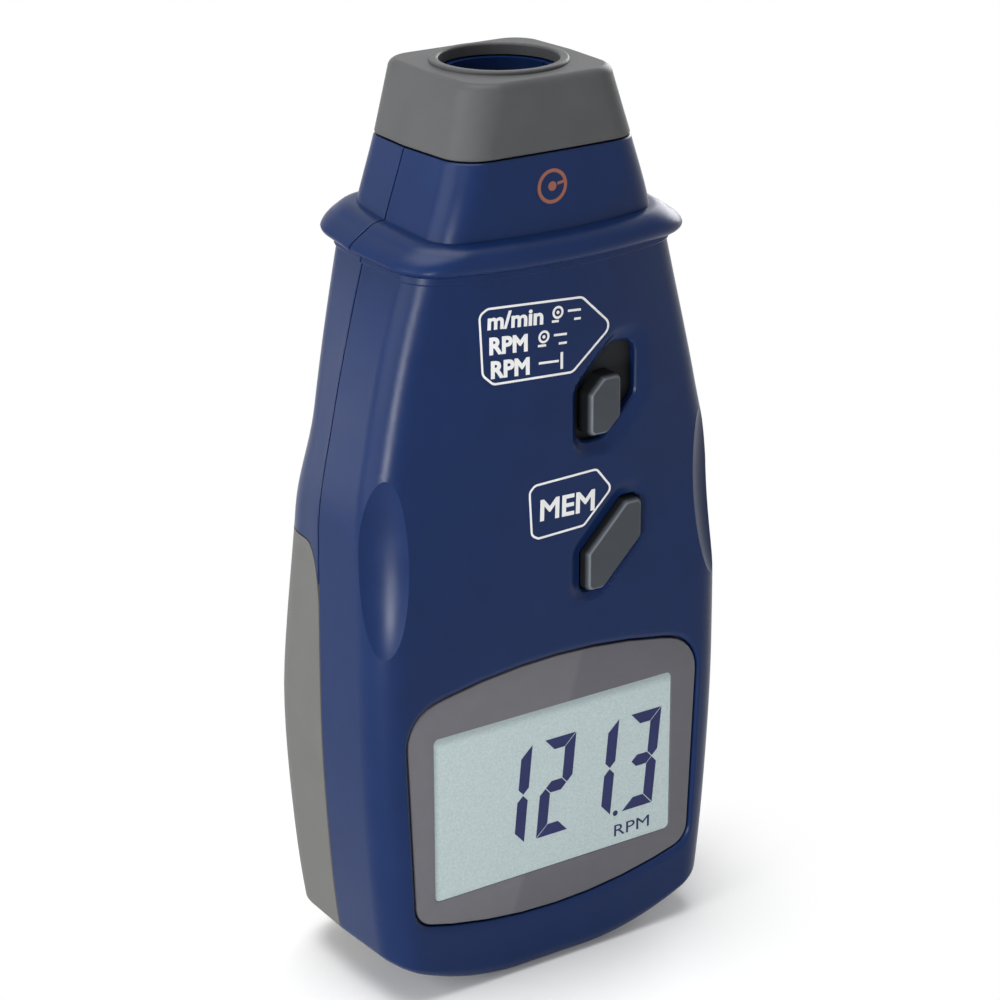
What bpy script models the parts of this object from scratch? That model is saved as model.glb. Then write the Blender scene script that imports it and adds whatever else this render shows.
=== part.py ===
"""Hand-held laser tachometer: moulded two-part case, nose cap, display, keys, optics and battery bay.

Units are metres. X is the width as seen from the display side, the display faces -Y and Z is up.
The case stands on its base at Z = 0, and the bore in the nose is centred on X = 0, Y = 0.
The front and rear shells meet on the plane Y = 0.
"""
import math

import bmesh
import bpy
from mathutils import Matrix, Vector

# Height at which the back is deepest
REAR_BELLY_HEIGHT = 0.0416

# Heights, each measured up from the one before it
BELLY_HEIGHT = 0.052
GRIP_RISE = 0.033
CHEST_RISE = 0.018
COLLAR_RISE = 0.0304
NECK_RISE = 0.0139
CAP_RISE = 0.0127

# Half widths of the case at those heights
FOOT_HALF_WIDTH = 0.0342
BELLY_HALF_WIDTH = 0.0371
GRIP_HALF_WIDTH = 0.0366
CHEST_HALF_WIDTH = 0.0335
SHOULDER_HALF_WIDTH = 0.0259
SEAM_HALF_WIDTH = 0.0188
NOSE_HALF_WIDTH = 0.0150

# Depths in front of and behind the parting plane
FRONT_DEPTH = 0.0176
NECK_FRONT_DEPTH = 0.0179
SEAM_FRONT_DEPTH = 0.0163
NOSE_FRONT_DEPTH = 0.0150
FOOT_REAR_DEPTH = 0.0188
BELLY_REAR_DEPTH = 0.0202
GRIP_REAR_DEPTH = 0.0163
CHEST_REAR_DEPTH = 0.0126
NECK_REAR_DEPTH = 0.0134
NOSE_REAR_DEPTH = 0.0144

# Rounding of the case
FRONT_CORNER = 0.0062
REAR_CORNER = 0.0078
GRIP_REAR_CORNER = 0.0100
NECK_REAR_CORNER = 0.0054
CROWN_RADIUS = 0.088
REAR_CROWN_RADIUS = 0.600
SIDE_DRAFT = 0.035
BASE_FLAT = 0.0070
BASE_CURVE = 0.0430
BASE_BLEND = 0.024
BASE_EDGE = 0.0032
NECK_STEP = 0.0025

# Collar bead round the shoulder
BEAD_RADIUS = 0.0025
BEAD_OUT = 0.0012
BEAD_LEDGE = 0.0005
BEAD_LEDGE_HEIGHT = 0.0016
# Rise of the collar for each metre toward the back
COLLAR_TILT = 0.07

# Walls and clearances
WALL = 0.0020
COVER_WALL = 0.0018
CAP_WALL = 0.0018
SPIGOT_WALL = 0.0014
TRAY_WALL = 0.0018
GAP = 0.0003
KEY_CLEARANCE = 0.00035

# Nose
BORE_RADIUS = 0.0100
RIM_WIDTH = 0.0016
RIM_STEP = 0.0006
CAP_EDGE = 0.0012
SPIGOT_BORE_RADIUS = 0.0090
SPIGOT_PLATE = 0.0020
SPIGOT_DROP = 0.0022
WINDOW_THICKNESS = 0.0012
WINDOW_LIP = 0.0007

# Display
LENS_HALF_WIDTH = 0.0308
LENS_FOOT_HALF_WIDTH = 0.0292
LENS_BOTTOM = 0.0109
LENS_TOP = 0.0592
LENS_TOP_ARCH = 0.0042
LENS_BOTTOM_ARCH = 0.0044
LENS_CORNER = 0.0044
LENS_TOP_CORNER = 0.0075
LENS_SUNK = 0.0006
LENS_THICKNESS = 0.0012
LENS_LIP = 0.0010
LENS_BEVEL = 0.0002
LEDGE_WIDTH = 0.0016
LEDGE_THICKNESS = 0.0016
LCD_WIDTH = 0.0530
LCD_HEIGHT = 0.0345
LCD_CENTRE = 0.0348
LCD_THICKNESS = 0.0028
FRAME_RIM = 0.0016
STRIP_HEIGHT = 0.0022

# Sliding mode knob and its slot, the knob's height measured up from the memory key
KNOB_X = 0.0092
KNOB_RISE = 0.0255
KNOB_HALF_WIDTH = 0.0033
KNOB_HALF_HEIGHT = 0.00515
KNOB_BAND = 0.00560
SLIDE_ANGLE = math.radians(38.0)
SLIDE_TRAVEL = 0.0046
SLOT_CLEARANCE = 0.0014
SLOT_MARGIN = 0.0038
SLOT_RECESS_SHIFT = (0.0010, 0.0003)
SHUTTER_THICKNESS = 0.0008
SHUTTER_LAP = 0.0006
STEM_RADIUS = 0.0015
SLIDE_SWITCH_LENGTH = 0.0140
SLIDE_SWITCH_WIDTH = 0.0060
STEM_SUNK = 0.0012

# Memory key, its height measured up from the display window
MEM_X = 0.0112
MEM_RISE = 0.0181
MEM_HALF_WIDTH = 0.00575
MEM_HALF_HEIGHT = 0.00755
MEM_BAND = 0.00520
MEM_MARGIN = 0.0023
MEM_RECESS_SHIFT = (-0.0005, 0.0008)
MEM_TRAVEL = 0.0008

# Shared by the two front keys
KEY_PROUD = 0.0010
KEY_CHAMFER = 0.0007
KEY_CORNER = 0.0011
RECESS_DEPTH = 0.0007
RECESS_SLOPE = 0.0011
RECESS_FLARE = 0.45
RECESS_CORNER = 0.0034
RECESS_FLOOR_CORNER = 0.0024
PAD_THICKNESS = 0.0014
PAD_WIDTH = 0.0012
FLANGE_WIDTH = 0.0010
FLANGE_THICKNESS = 0.0008
# How much faster the diagonal band widens than the sides when a key's outline grows
BAND_GROWTH = 1.2

# Measuring button on the right side, its height measured up from the battery cover
BUTTON_RISE = 0.0110
BUTTON_LENGTH = 0.0160
BUTTON_WIDTH = 0.0080
BUTTON_PROUD = 0.0014
BUTTON_TRAVEL = 0.0012
BUTTON_CORNER = 0.0030

# Finger scoops on the two front edges
SCOOP_LENGTH = 0.0325
SCOOP_RADIUS = 0.0105
SCOOP_DEPTH = 0.0020
SCOOP_WALL = 0.0013
SCOOP_ANGLE = math.radians(60.0)
SCOOP_HEIGHT = 0.0870

# Battery cover
COVER_HEIGHT = 0.0815
COVER_CURVE = 0.0044
COVER_FRONT_HEIGHT = 0.0710

# Four AA cells side by side
CELL_RADIUS = 0.00725
CELL_LENGTH = 0.0505
CELL_NIPPLE_RADIUS = 0.00275
CELL_NIPPLE_LENGTH = 0.0010
CELL_GAP = 0.0004
CELL_EDGE = 0.0006
CELL_COUNT = 4
BAY_BOTTOM = 0.0100
BAY_WALL = 0.0012
SPRING_LENGTH = 0.0042
SPRING_RADIUS = 0.0034
SPRING_WIRE = 0.0004
SPRING_TURNS = 3
SPRING_TAPER = 0.35
CONTACT_THICKNESS = 0.0004
CONTACT_HALF_WIDTH = 0.0048

# Circuit board and what it carries
BOARD_FRONT = -0.0088
BOARD_THICKNESS = 0.0016
BOARD_HALF_WIDTH = 0.0288
BOARD_NECK_HALF_WIDTH = 0.0190
BOARD_BOTTOM = 0.0130
BOARD_EDGE = 0.0005
BOARD_ABOVE_KNOB = 0.0162
BOARD_POST_X = 0.0243
BOARD_POST_HEIGHT = 0.0645
BOARD_POST_RADIUS = 0.0022
SWITCH_SIZE = 0.0060
SWITCH_HEIGHT = 0.0030
PLUNGER_RADIUS = 0.0016
PLUNGER_SUNK = 0.0010
MEASURE_PLUNGER_PROUD = 0.0018
CHIP_SIZE = 0.0120
CHIP_THICKNESS = 0.0018
CRYSTAL_RADIUS = 0.0015
CRYSTAL_LENGTH = 0.0078
CAPACITOR_RADIUS = 0.0025
CAPACITOR_LENGTH = 0.0060
CAPACITOR_X = -0.0158
CAPACITOR_BOARD_HEIGHT = 0.0900

# Optics in the nose
HOLDER_RADIUS = 0.0080
HOLDER_LENGTH = 0.0230
HOLDER_RIB_DROP = 0.0097
LASER_RADIUS = 0.0030
LASER_LENGTH = 0.0160
LASER_X = -0.0040
LASER_LENS_RADIUS = 0.0018
LASER_LENS_THICKNESS = 0.0014
LASER_LENS_EDGE = 0.0005
RECEIVER_RADIUS = 0.0034
RECEIVER_X = 0.0038
RECEIVER_EDGE = 0.0010
RECEIVER_DOME = 0.0016
OPTICS_SUNK = 0.0030
SENSOR_RADIUS = 0.0024
SENSOR_LENGTH = 0.0036
OPTICS_BOARD_HALF_WIDTH = 0.0105
OPTICS_BOARD_HALF_DEPTH = 0.0068
OPTICS_BOARD_THICKNESS = 0.0012

# Screws
SCREW_RADIUS = 0.00125
SCREW_LENGTH = 0.0130
SCREW_HEAD_RADIUS = 0.0025
SCREW_HEAD_HEIGHT = 0.0014
SCREW_SEAT = 0.0098
BOARD_SCREW_RADIUS = 0.0010
BOARD_SCREW_LENGTH = 0.0055
BOARD_SCREW_HEAD_RADIUS = 0.0021
BOSS_RADIUS = 0.0033
UPPER_SCREW_X = 0.0128
UPPER_SCREW_HEIGHT = 0.1395
LOWER_SCREW_X = 0.0130
LOWER_SCREW_HEIGHT = 0.0066

# Least share of the front's bow, and the most of a half width or depth that a corner may take
LEAST_BOW = 0.02
CORNER_LIMIT = 0.8

# Fineness of the meshes
CORNER_STEPS = 6
CROWN_STEPS = 4
TRAY_CROWN_STEPS = 3
ROUND_STEPS = 28
SMALL_STEPS = 16
FINE_STEPS = 12
RIM_STEPS = 48

# Heights and places worked out from the sizes above
GRIP_HEIGHT = BELLY_HEIGHT + GRIP_RISE
CHEST_HEIGHT = GRIP_HEIGHT + CHEST_RISE
COLLAR_HEIGHT = CHEST_HEIGHT + COLLAR_RISE
SEAM_HEIGHT = COLLAR_HEIGHT + NECK_RISE
NOSE_HEIGHT = SEAM_HEIGHT + CAP_RISE
SPIGOT_HEIGHT = NOSE_HEIGHT - SPIGOT_DROP
MEM_HEIGHT = LENS_TOP + MEM_RISE
KNOB_HEIGHT = MEM_HEIGHT + KNOB_RISE
BUTTON_HEIGHT = COVER_HEIGHT + BUTTON_RISE
BOARD_SHOULDER = BUTTON_HEIGHT + SWITCH_SIZE / 2 + BOARD_EDGE
BOARD_TOP = KNOB_HEIGHT + BOARD_ABOVE_KNOB
PARTING = GAP / 2

# Reach of cutters that only have to pass beyond the case, and their start outside a face
FAR = 0.08
LEAD = 0.001

WIDTH_STATIONS = (
    (0.0, FOOT_HALF_WIDTH),
    (BELLY_HEIGHT, BELLY_HALF_WIDTH),
    (GRIP_HEIGHT, GRIP_HALF_WIDTH),
    (CHEST_HEIGHT, CHEST_HALF_WIDTH),
    (COLLAR_HEIGHT, SHOULDER_HALF_WIDTH),
    (SEAM_HEIGHT, SEAM_HALF_WIDTH + NECK_STEP),
    (NOSE_HEIGHT, NOSE_HALF_WIDTH + NECK_STEP),
)
FRONT_STATIONS = (
    (0.0, FRONT_DEPTH),
    (CHEST_HEIGHT, FRONT_DEPTH),
    (COLLAR_HEIGHT, NECK_FRONT_DEPTH),
    (SEAM_HEIGHT, SEAM_FRONT_DEPTH),
    (NOSE_HEIGHT, NOSE_FRONT_DEPTH),
)
REAR_STATIONS = (
    (0.0, FOOT_REAR_DEPTH),
    (REAR_BELLY_HEIGHT, BELLY_REAR_DEPTH),
    (GRIP_HEIGHT, GRIP_REAR_DEPTH),
    (CHEST_HEIGHT, CHEST_REAR_DEPTH),
    (COLLAR_HEIGHT, NECK_REAR_DEPTH),
    (NOSE_HEIGHT, NOSE_REAR_DEPTH),
)
REAR_CORNER_STATIONS = (
    (BELLY_HEIGHT, REAR_CORNER),
    (GRIP_HEIGHT, GRIP_REAR_CORNER),
    (CHEST_HEIGHT, REAR_CORNER),
    (COLLAR_HEIGHT, NECK_REAR_CORNER),
)
CROWN_STATIONS = (
    (0.0, 0.0),
    (LENS_TOP, 0.0),
    (CHEST_HEIGHT, 0.55),
    (COLLAR_HEIGHT, 1.0),
    (SEAM_HEIGHT, 0.25),
    (NOSE_HEIGHT, 0.1),
)


def smooth_value(stations, height):
    """A value that runs through its stations without overshooting between them."""
    if height <= stations[0][0]:
        return stations[0][1]
    if height >= stations[-1][0]:
        return stations[-1][1]
    spans = [b[0] - a[0] for a, b in zip(stations, stations[1:])]
    rises = [(b[1] - a[1]) / span for a, b, span in zip(stations, stations[1:], spans)]
    slopes = [rises[0]]
    for left, right in zip(rises, rises[1:]):
        slopes.append(0.0 if left * right <= 0.0 else 2.0 * left * right / (left + right))
    slopes.append(rises[-1])
    index = max(i for i in range(len(spans)) if stations[i][0] <= height)
    t = (height - stations[index][0]) / spans[index]
    a, b = stations[index][1], stations[index + 1][1]
    pull_a, pull_b = slopes[index] * spans[index], slopes[index + 1] * spans[index]
    blend = t * t * (3.0 - 2.0 * t)
    return a + (b - a) * blend + pull_a * t * (1.0 - t) ** 2 - pull_b * t * t * (1.0 - t)


def collar_share(level):
    """How much of the collar's slope a level takes on, all of it at the bead and none further away."""
    if level > COLLAR_HEIGHT:
        reach, full = SEAM_HEIGHT - COLLAR_HEIGHT, BEAD_RADIUS
    else:
        reach, full = COLLAR_HEIGHT - CHEST_HEIGHT, 2.0 * BEAD_RADIUS
    return min(max((reach - abs(level - COLLAR_HEIGHT)) / (reach - full), 0.0), 1.0)


def base_rise(x, level):
    """How far the curved base lifts a point of the section at this level."""
    if level >= BASE_BLEND:
        return 0.0
    reach = max(abs(x) - BASE_FLAT, 0.0)
    return reach * reach / (2.0 * BASE_CURVE) * (1.0 - level / BASE_BLEND) ** 2


def half_width(level):
    """Half width of the case at the parting plane."""
    t = min(max((level - COLLAR_HEIGHT) / BEAD_RADIUS + 0.5, 0.0), 1.0)
    return smooth_value(WIDTH_STATIONS, level) - NECK_STEP * t


def front_depth(level):
    return smooth_value(FRONT_STATIONS, level)


def rear_depth(level):
    return smooth_value(REAR_STATIONS, level)


def rear_corner(level):
    return smooth_value(REAR_CORNER_STATIONS, level)


def crown_radius(level):
    """Radius, in plan, of the bowed front face."""
    return CROWN_RADIUS / max(smooth_value(CROWN_STATIONS, level), LEAST_BOW)


def front_surface(x, level):
    """Y of the case's front face at a point."""
    radius = crown_radius(level)
    return -front_depth(level) + radius - math.sqrt(radius * radius - x * x)


def quarter_section(width, depth, corner, crown, corner_steps, crown_steps):
    """Points from the parting plane round one corner to the middle of the face, depth positive."""
    corner = min(corner, width * CORNER_LIMIT, depth * CORNER_LIMIT)
    centre_x = width - SIDE_DRAFT * depth - corner
    centre_y = (depth - crown) + math.sqrt((crown - corner) ** 2 - centre_x * centre_x)
    normal = Vector((centre_x, centre_y - (depth - crown))).normalized()
    end = math.atan2(normal.y, normal.x)
    points = [(width, 0.0)]
    for i in range(corner_steps + 1):
        angle = end * i / corner_steps
        points.append((centre_x + corner * math.cos(angle), centre_y + corner * math.sin(angle)))
    edge_x = points[-1][0]
    for i in range(1, crown_steps + 1):
        x = edge_x * (1.0 - i / crown_steps)
        points.append((x, depth - crown + math.sqrt(crown * crown - x * x)))
    return points


def section(level, grow, corner_steps, crown_steps, width_limit=FAR):
    """Closed outline of the case at a level, grown outward or, when negative, shrunk inward."""
    width = min(half_width(level) + grow, width_limit)
    front = quarter_section(width, front_depth(level) + grow, max(FRONT_CORNER + grow, LEAD),
                            crown_radius(level) + grow, corner_steps, crown_steps)
    rear = quarter_section(width, rear_depth(level) + grow, max(rear_corner(level) + grow, LEAD),
                           REAR_CROWN_RADIUS + grow, corner_steps, crown_steps)
    front_half = [(x, -y) for x, y in front]
    front_half += [(-x, -y) for x, y in front[-2::-1]]
    rear_half = [(-x, y) for x, y in rear[1:]]
    rear_half += [(x, y) for x, y in rear[-2:0:-1]]
    tilt = COLLAR_TILT * collar_share(level)
    return [Vector((x, y, level + base_rise(x, level) + tilt * y)) for x, y in front_half + rear_half]


def mesh_object(name, verts, faces):
    """An object from plain vertices and faces, with its faces turned outward."""
    mesh = bpy.data.meshes.new(name)
    mesh.from_pydata([tuple(v) for v in verts], [], faces)
    work = bmesh.new()
    work.from_mesh(mesh)
    bmesh.ops.connect_verts_nonplanar(work, angle_limit=0.0001, faces=work.faces)
    bmesh.ops.recalc_face_normals(work, faces=work.faces)
    work.to_mesh(mesh)
    work.free()
    item = bpy.data.objects.new(name, mesh)
    bpy.context.collection.objects.link(item)
    return item


def loft(name, rings, strip_caps=False):
    """A closed solid through rings of equal length, its ends capped flat or with cross strips."""
    count = len(rings[0])
    verts = [point for ring in rings for point in ring]
    faces = []
    for r in range(len(rings) - 1):
        for i in range(count):
            j = (i + 1) % count
            faces.append((r * count + i, r * count + j, (r + 1) * count + j, (r + 1) * count + i))
    last = (len(rings) - 1) * count
    for start in (0, last):
        if strip_caps:
            faces += cap_strips(start, count)
        else:
            faces.append(tuple(range(start, start + count)))
    return mesh_object(name, verts, faces)


def cap_strips(start, count):
    """Faces that join the front half of a section's outline to the rear half behind it."""
    faces = []
    half = count // 2
    for i in range(half):
        behind, next_behind = (count - i) % count, (count - i - 1) % count
        corners = [start + i, start + i + 1, start + next_behind, start + behind]
        faces.append(tuple(dict.fromkeys(corners)))
    return faces


def envelope(name, levels, corner_steps=CORNER_STEPS, crown_steps=CROWN_STEPS, width_limit=FAR):
    """The case's outer form through a list of level and growth pairs."""
    rings = [section(level, grow, corner_steps, crown_steps, width_limit) for level, grow in levels]
    return loft(name, rings, strip_caps=True)


def coarse_envelope(name, levels, width_limit=FAR):
    return envelope(name, levels, corner_steps=3, crown_steps=2, width_limit=width_limit)


def boolean(target, tool, operation):
    """Applies one exact boolean and removes the tool."""
    step = target.modifiers.new(operation, "BOOLEAN")
    step.operation = operation
    step.solver = "EXACT"
    step.object = tool
    graph = bpy.context.evaluated_depsgraph_get()
    result = bpy.data.meshes.new_from_object(target.evaluated_get(graph))
    target.modifiers.remove(step)
    old = target.data
    target.data = result
    bpy.data.meshes.remove(old)
    bpy.data.objects.remove(tool)
    return target


def cut(target, *tools):
    for tool in tools:
        boolean(target, tool, "DIFFERENCE")
    return target


def join(target, *tools):
    for tool in tools:
        boolean(target, tool, "UNION")
    return target


def keep(target, tool):
    return boolean(target, tool, "INTERSECT")


def box(name, low, high):
    """A box between two corners."""
    (x0, y0, z0), (x1, y1, z1) = low, high
    verts = [(x, y, z) for z in (z0, z1) for y in (y0, y1) for x in (x0, x1)]
    faces = [(0, 2, 3, 1), (4, 5, 7, 6), (0, 1, 5, 4), (2, 6, 7, 3), (0, 4, 6, 2), (1, 3, 7, 5)]
    return mesh_object(name, verts, faces)


def circle_points(radius, steps):
    angles = [2.0 * math.pi * (i + 0.5) / steps for i in range(steps)]
    return [(radius * math.cos(angle), radius * math.sin(angle)) for angle in angles]


def turned(name, profile, steps=ROUND_STEPS, centre=(0.0, 0.0, 0.0), axis="Z"):
    """A turned piece from radius and height pairs, along an axis through the centre."""
    rings = [[Vector((x, y, height)) for x, y in circle_points(radius, steps)]
             for radius, height in profile]
    item = loft(name, rings)
    turn = {"Z": Matrix.Identity(4), "X": Matrix.Rotation(math.pi / 2, 4, "Y"),
            "Y": Matrix.Rotation(-math.pi / 2, 4, "X")}[axis]
    item.data.transform(Matrix.Translation(centre) @ turn)
    return item


def rod(name, radius, start, end, centre, axis="Z", steps=SMALL_STEPS):
    """A plain cylinder between two distances along an axis."""
    return turned(name, ((radius, start), (radius, end)), steps, centre, axis)


def rounded_outline(corners, radius, steps=3):
    """A polygon with each corner replaced by an arc."""
    points = []
    count = len(corners)
    for i in range(count):
        here = Vector(corners[i])
        before = (Vector(corners[i - 1]) - here)
        after = (Vector(corners[(i + 1) % count]) - here)
        half = before.angle(after) / 2.0
        reach = min(radius / math.tan(half), before.length * 0.45, after.length * 0.45)
        arc = reach * math.tan(half)
        centre = here + (before.normalized() + after.normalized()).normalized() * (arc / math.sin(half))
        start = here + before.normalized() * reach - centre
        end = here + after.normalized() * reach - centre
        sweep = start.angle_signed(end)
        for k in range(steps + 1):
            points.append(centre + Matrix.Rotation(-sweep * k / steps, 2) @ start)
    return points


def slanted_outline(half_wide, half_high, band, corner, steps=3):
    """The keys' outline: a rounded box that keeps only a band along its rising diagonal."""
    corners = [
        (-half_wide, -half_high),
        (band - half_high, -half_high),
        (half_wide, half_wide - band),
        (half_wide, half_high),
        (half_high - band, half_high),
        (-half_wide, band - half_wide),
    ]
    return rounded_outline(corners, corner, steps)


def prism(name, stages, centre=(0.0, 0.0)):
    """A solid along Y through outlines in X and Z, each given with its Y."""
    rings = []
    for outline, y in stages:
        rings.append([Vector((centre[0] + p[0], y, centre[1] + p[1])) for p in outline])
    return loft(name, rings)


def lens_outline(grow=0.0):
    """The display window's outline: arched top and bottom, sides that taper down."""
    half = LENS_HALF_WIDTH + grow
    foot = LENS_FOOT_HALF_WIDTH + grow
    top, bottom = LENS_TOP + grow, LENS_BOTTOM - grow
    arch_steps = 8
    upper, lower = [], []
    for i in range(arch_steps + 1):
        t = 2.0 * i / arch_steps - 1.0
        lower.append((t * foot, bottom + LENS_BOTTOM_ARCH * t * t))
        upper.append((-t * half, top - LENS_TOP_ARCH * t * t))
    outline = lower + upper
    sharp = {0: True, arch_steps: True, arch_steps + 1: True, 2 * arch_steps + 1: True}
    points = []
    for i, here in enumerate(outline):
        if i not in sharp:
            points.append(Vector(here))
            continue
        corner = (LENS_CORNER if i <= arch_steps else LENS_TOP_CORNER) + grow
        before = Vector(outline[i - 1]) - Vector(here)
        after = Vector(outline[(i + 1) % len(outline)]) - Vector(here)
        half_angle = before.angle(after) / 2.0
        reach = corner / math.tan(half_angle)
        middle = Vector(here) + (before.normalized() + after.normalized()).normalized() * (
            corner / math.sin(half_angle))
        start = Vector(here) + before.normalized() * reach - middle
        end = Vector(here) + after.normalized() * reach - middle
        sweep = start.angle_signed(end)
        for k in range(CORNER_STEPS + 1):
            points.append(middle + Matrix.Rotation(-sweep * k / CORNER_STEPS, 2) @ start)
    return points


def finish(item, colour, roughness, metallic=0.0, angle=35.0):
    """Gives a piece its own material and smooth shading."""
    material = bpy.data.materials.new(item.name)
    material.use_nodes = True
    shader = material.node_tree.nodes["Principled BSDF"]
    shader.inputs["Base Color"].default_value = (*colour, 1.0)
    shader.inputs["Roughness"].default_value = roughness
    shader.inputs["Metallic"].default_value = metallic
    item.data.materials.clear()
    item.data.materials.append(material)
    item.data.shade_smooth()
    item.data.set_sharp_from_angle(angle=math.radians(angle))
    return item


def set_origin(item, point):
    """Moves a piece's origin to a point without moving the piece."""
    offset = Vector(point)
    item.data.transform(Matrix.Translation(-offset))
    item.location = offset
    return item


def edge_levels(start, radius, grow=0.0, steps=4):
    """Levels that round the bottom edge of an envelope that starts at this level."""
    levels = []
    for i in range(steps + 1):
        angle = math.pi / 2.0 * i / steps
        levels.append((start + radius * (1.0 - math.cos(angle)), grow - radius * (1.0 - math.sin(angle))))
    return levels


def spread(start, end, count):
    """Evenly spaced levels, both ends left out."""
    return [start + (end - start) * i / (count + 1) for i in range(1, count + 1)]


def case_levels():
    """Levels of the case's outside, from the base to the top of the spigot inside the nose cap."""
    ledge_bottom = COLLAR_HEIGHT - BEAD_RADIUS - BEAD_LEDGE_HEIGHT
    levels = edge_levels(0.0, BASE_EDGE)
    levels += [(level, 0.0) for level in spread(BASE_EDGE, BASE_BLEND, 2) + [BASE_BLEND]]
    levels += [(level, 0.0) for level in spread(BASE_BLEND, ledge_bottom, 11)]
    levels += [(ledge_bottom, 0.0), (ledge_bottom + BEAD_LEDGE, BEAD_LEDGE)]
    steps = 8
    for i in range(steps + 1):
        angle = math.pi * (i / steps - 0.5)
        grow = BEAD_RADIUS * math.cos(angle) + BEAD_OUT
        levels.append((COLLAR_HEIGHT + BEAD_RADIUS * math.sin(angle), grow))
    levels += [(level, 0.0) for level in spread(COLLAR_HEIGHT + BEAD_RADIUS, SEAM_HEIGHT, 1)]
    inset = -(CAP_WALL + GAP)
    levels += [(SEAM_HEIGHT, 0.0), (SEAM_HEIGHT, inset), (SPIGOT_HEIGHT, inset)]
    return levels


def cavity_levels(wall_low):
    """Levels of the room inside the shells, with a thicker wall beside the battery bay."""
    step_height = COVER_HEIGHT + WALL
    levels = edge_levels(wall_low, BASE_EDGE, -wall_low, steps=1)
    levels += [(BASE_BLEND, -wall_low), (BELLY_HEIGHT, -wall_low), (step_height, -wall_low)]
    levels += [(step_height + wall_low - WALL, -WALL)] if wall_low > WALL else []
    levels += [(level, -WALL) for level in spread(step_height + wall_low, COLLAR_HEIGHT, 2)]
    inset = -(CAP_WALL + GAP + SPIGOT_WALL)
    levels += [(COLLAR_HEIGHT, -WALL), (SEAM_HEIGHT - WALL, -WALL), (SEAM_HEIGHT - WALL, inset)]
    levels += [(SPIGOT_HEIGHT - SPIGOT_PLATE, inset)]
    return levels


def half_space(name, front):
    """A box that holds everything in front of, or behind, the parting plane."""
    if front:
        return box(name, (-FAR, -FAR, -FAR), (FAR, -PARTING, 3 * FAR))
    return box(name, (-FAR, PARTING, -FAR), (FAR, FAR, 3 * FAR))


def slide_shift():
    """The mode knob's whole travel as a step in X and Z."""
    return SLIDE_TRAVEL * math.sin(SLIDE_ANGLE), SLIDE_TRAVEL * math.cos(SLIDE_ANGLE)


def knob_outline(grow=0.0, travels=0.0, corner=KEY_CORNER):
    """Outline of the mode knob, stretched by a number of travels along its slide."""
    shift_x, shift_z = slide_shift()
    return slanted_outline(KNOB_HALF_WIDTH + grow + travels * shift_x / 2.0,
                           KNOB_HALF_HEIGHT + grow + travels * shift_z / 2.0,
                           KNOB_BAND + grow * BAND_GROWTH + travels * (shift_z - shift_x) / 2.0, corner)


def mem_outline(grow=0.0, corner=KEY_CORNER):
    return slanted_outline(MEM_HALF_WIDTH + grow, MEM_HALF_HEIGHT + grow,
                           MEM_BAND + grow * BAND_GROWTH, corner)


def slot_centre():
    shift_x, shift_z = slide_shift()
    return KNOB_X + shift_x / 2.0, KNOB_HEIGHT + shift_z / 2.0


def mem_centre():
    return MEM_X, MEM_HEIGHT


def recess_floor(centre, outer_x):
    """Y of a key recess's flat floor, set by the shallower outer side of the recess."""
    return front_surface(centre[0] + outer_x, centre[1]) + RECESS_DEPTH


def slot_floor():
    shift_x, _ = slide_shift()
    return recess_floor(slot_centre(), KNOB_HALF_WIDTH + shift_x / 2.0 + SLOT_CLEARANCE)


def mem_floor():
    return recess_floor(mem_centre(), MEM_HALF_WIDTH + MEM_MARGIN)


def key_recess(target, outline, margin, shift, centre, floor, clearance):
    """Adds the pad behind the wall, then sinks the sloped recess and cuts the key's opening."""
    lead = floor + front_depth(centre[1]) + LEAD
    wide_centre = (centre[0] + shift[0], centre[1] + shift[1])
    pad = prism("pad", [(outline(margin + PAD_WIDTH, RECESS_CORNER), floor - GAP / 3),
                        (outline(margin + PAD_WIDTH, RECESS_CORNER), floor + PAD_THICKNESS)], centre)
    join(target, pad)
    wide = margin + (lead - RECESS_SLOPE) * RECESS_FLARE
    recess = prism("recess", [(outline(wide, RECESS_CORNER), floor - lead),
                              (outline(margin - RECESS_SLOPE, RECESS_FLOOR_CORNER), floor)], wide_centre)
    hole = outline(clearance, KEY_CORNER + clearance)
    opening = prism("opening", [(hole, -FAR / 2), (hole, floor + 2 * PAD_THICKNESS)], centre)
    return cut(target, recess, opening)


def lens_levels():
    """Y of the display window's face, its back and the pocket floor behind it."""
    face = -FRONT_DEPTH + LENS_SUNK
    back = face + LENS_THICKNESS
    return face, back, back + GAP


def lcd_front():
    return lens_levels()[1] + GAP


def scoop(name, side, grow=0.0):
    """The hollow for a finger in one front edge of the case, or with growth the wall behind it."""
    width = half_width(SCOOP_HEIGHT)
    diagonal = math.sqrt(0.5)
    edge = FRONT_CORNER * (1.0 - diagonal)
    reach = SCOOP_RADIUS - SCOOP_DEPTH
    centre_x = width - SIDE_DRAFT * FRONT_DEPTH - edge + reach * math.cos(SCOOP_ANGLE)
    centre_y = front_surface(width - FRONT_CORNER, SCOOP_HEIGHT) + edge - reach * math.sin(SCOOP_ANGLE)
    ratio = (SCOOP_RADIUS - SCOOP_DEPTH) / SCOOP_RADIUS
    half_length = SCOOP_LENGTH / 2.0 / math.sqrt(1.0 - ratio * ratio)
    steps = 24
    profile = []
    for i in range(1, steps):
        angle = math.pi * (i / steps - 0.5)
        profile.append(((SCOOP_RADIUS + grow) * math.cos(angle), (half_length + grow) * math.sin(angle)))
    return turned(name, profile, 40, (side * centre_x, centre_y, SCOOP_HEIGHT))


def screw_places():
    """X and height of the four case screws."""
    return [(side * x, height) for x, height in
            ((UPPER_SCREW_X, UPPER_SCREW_HEIGHT), (LOWER_SCREW_X, LOWER_SCREW_HEIGHT)) for side in (-1, 1)]


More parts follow.
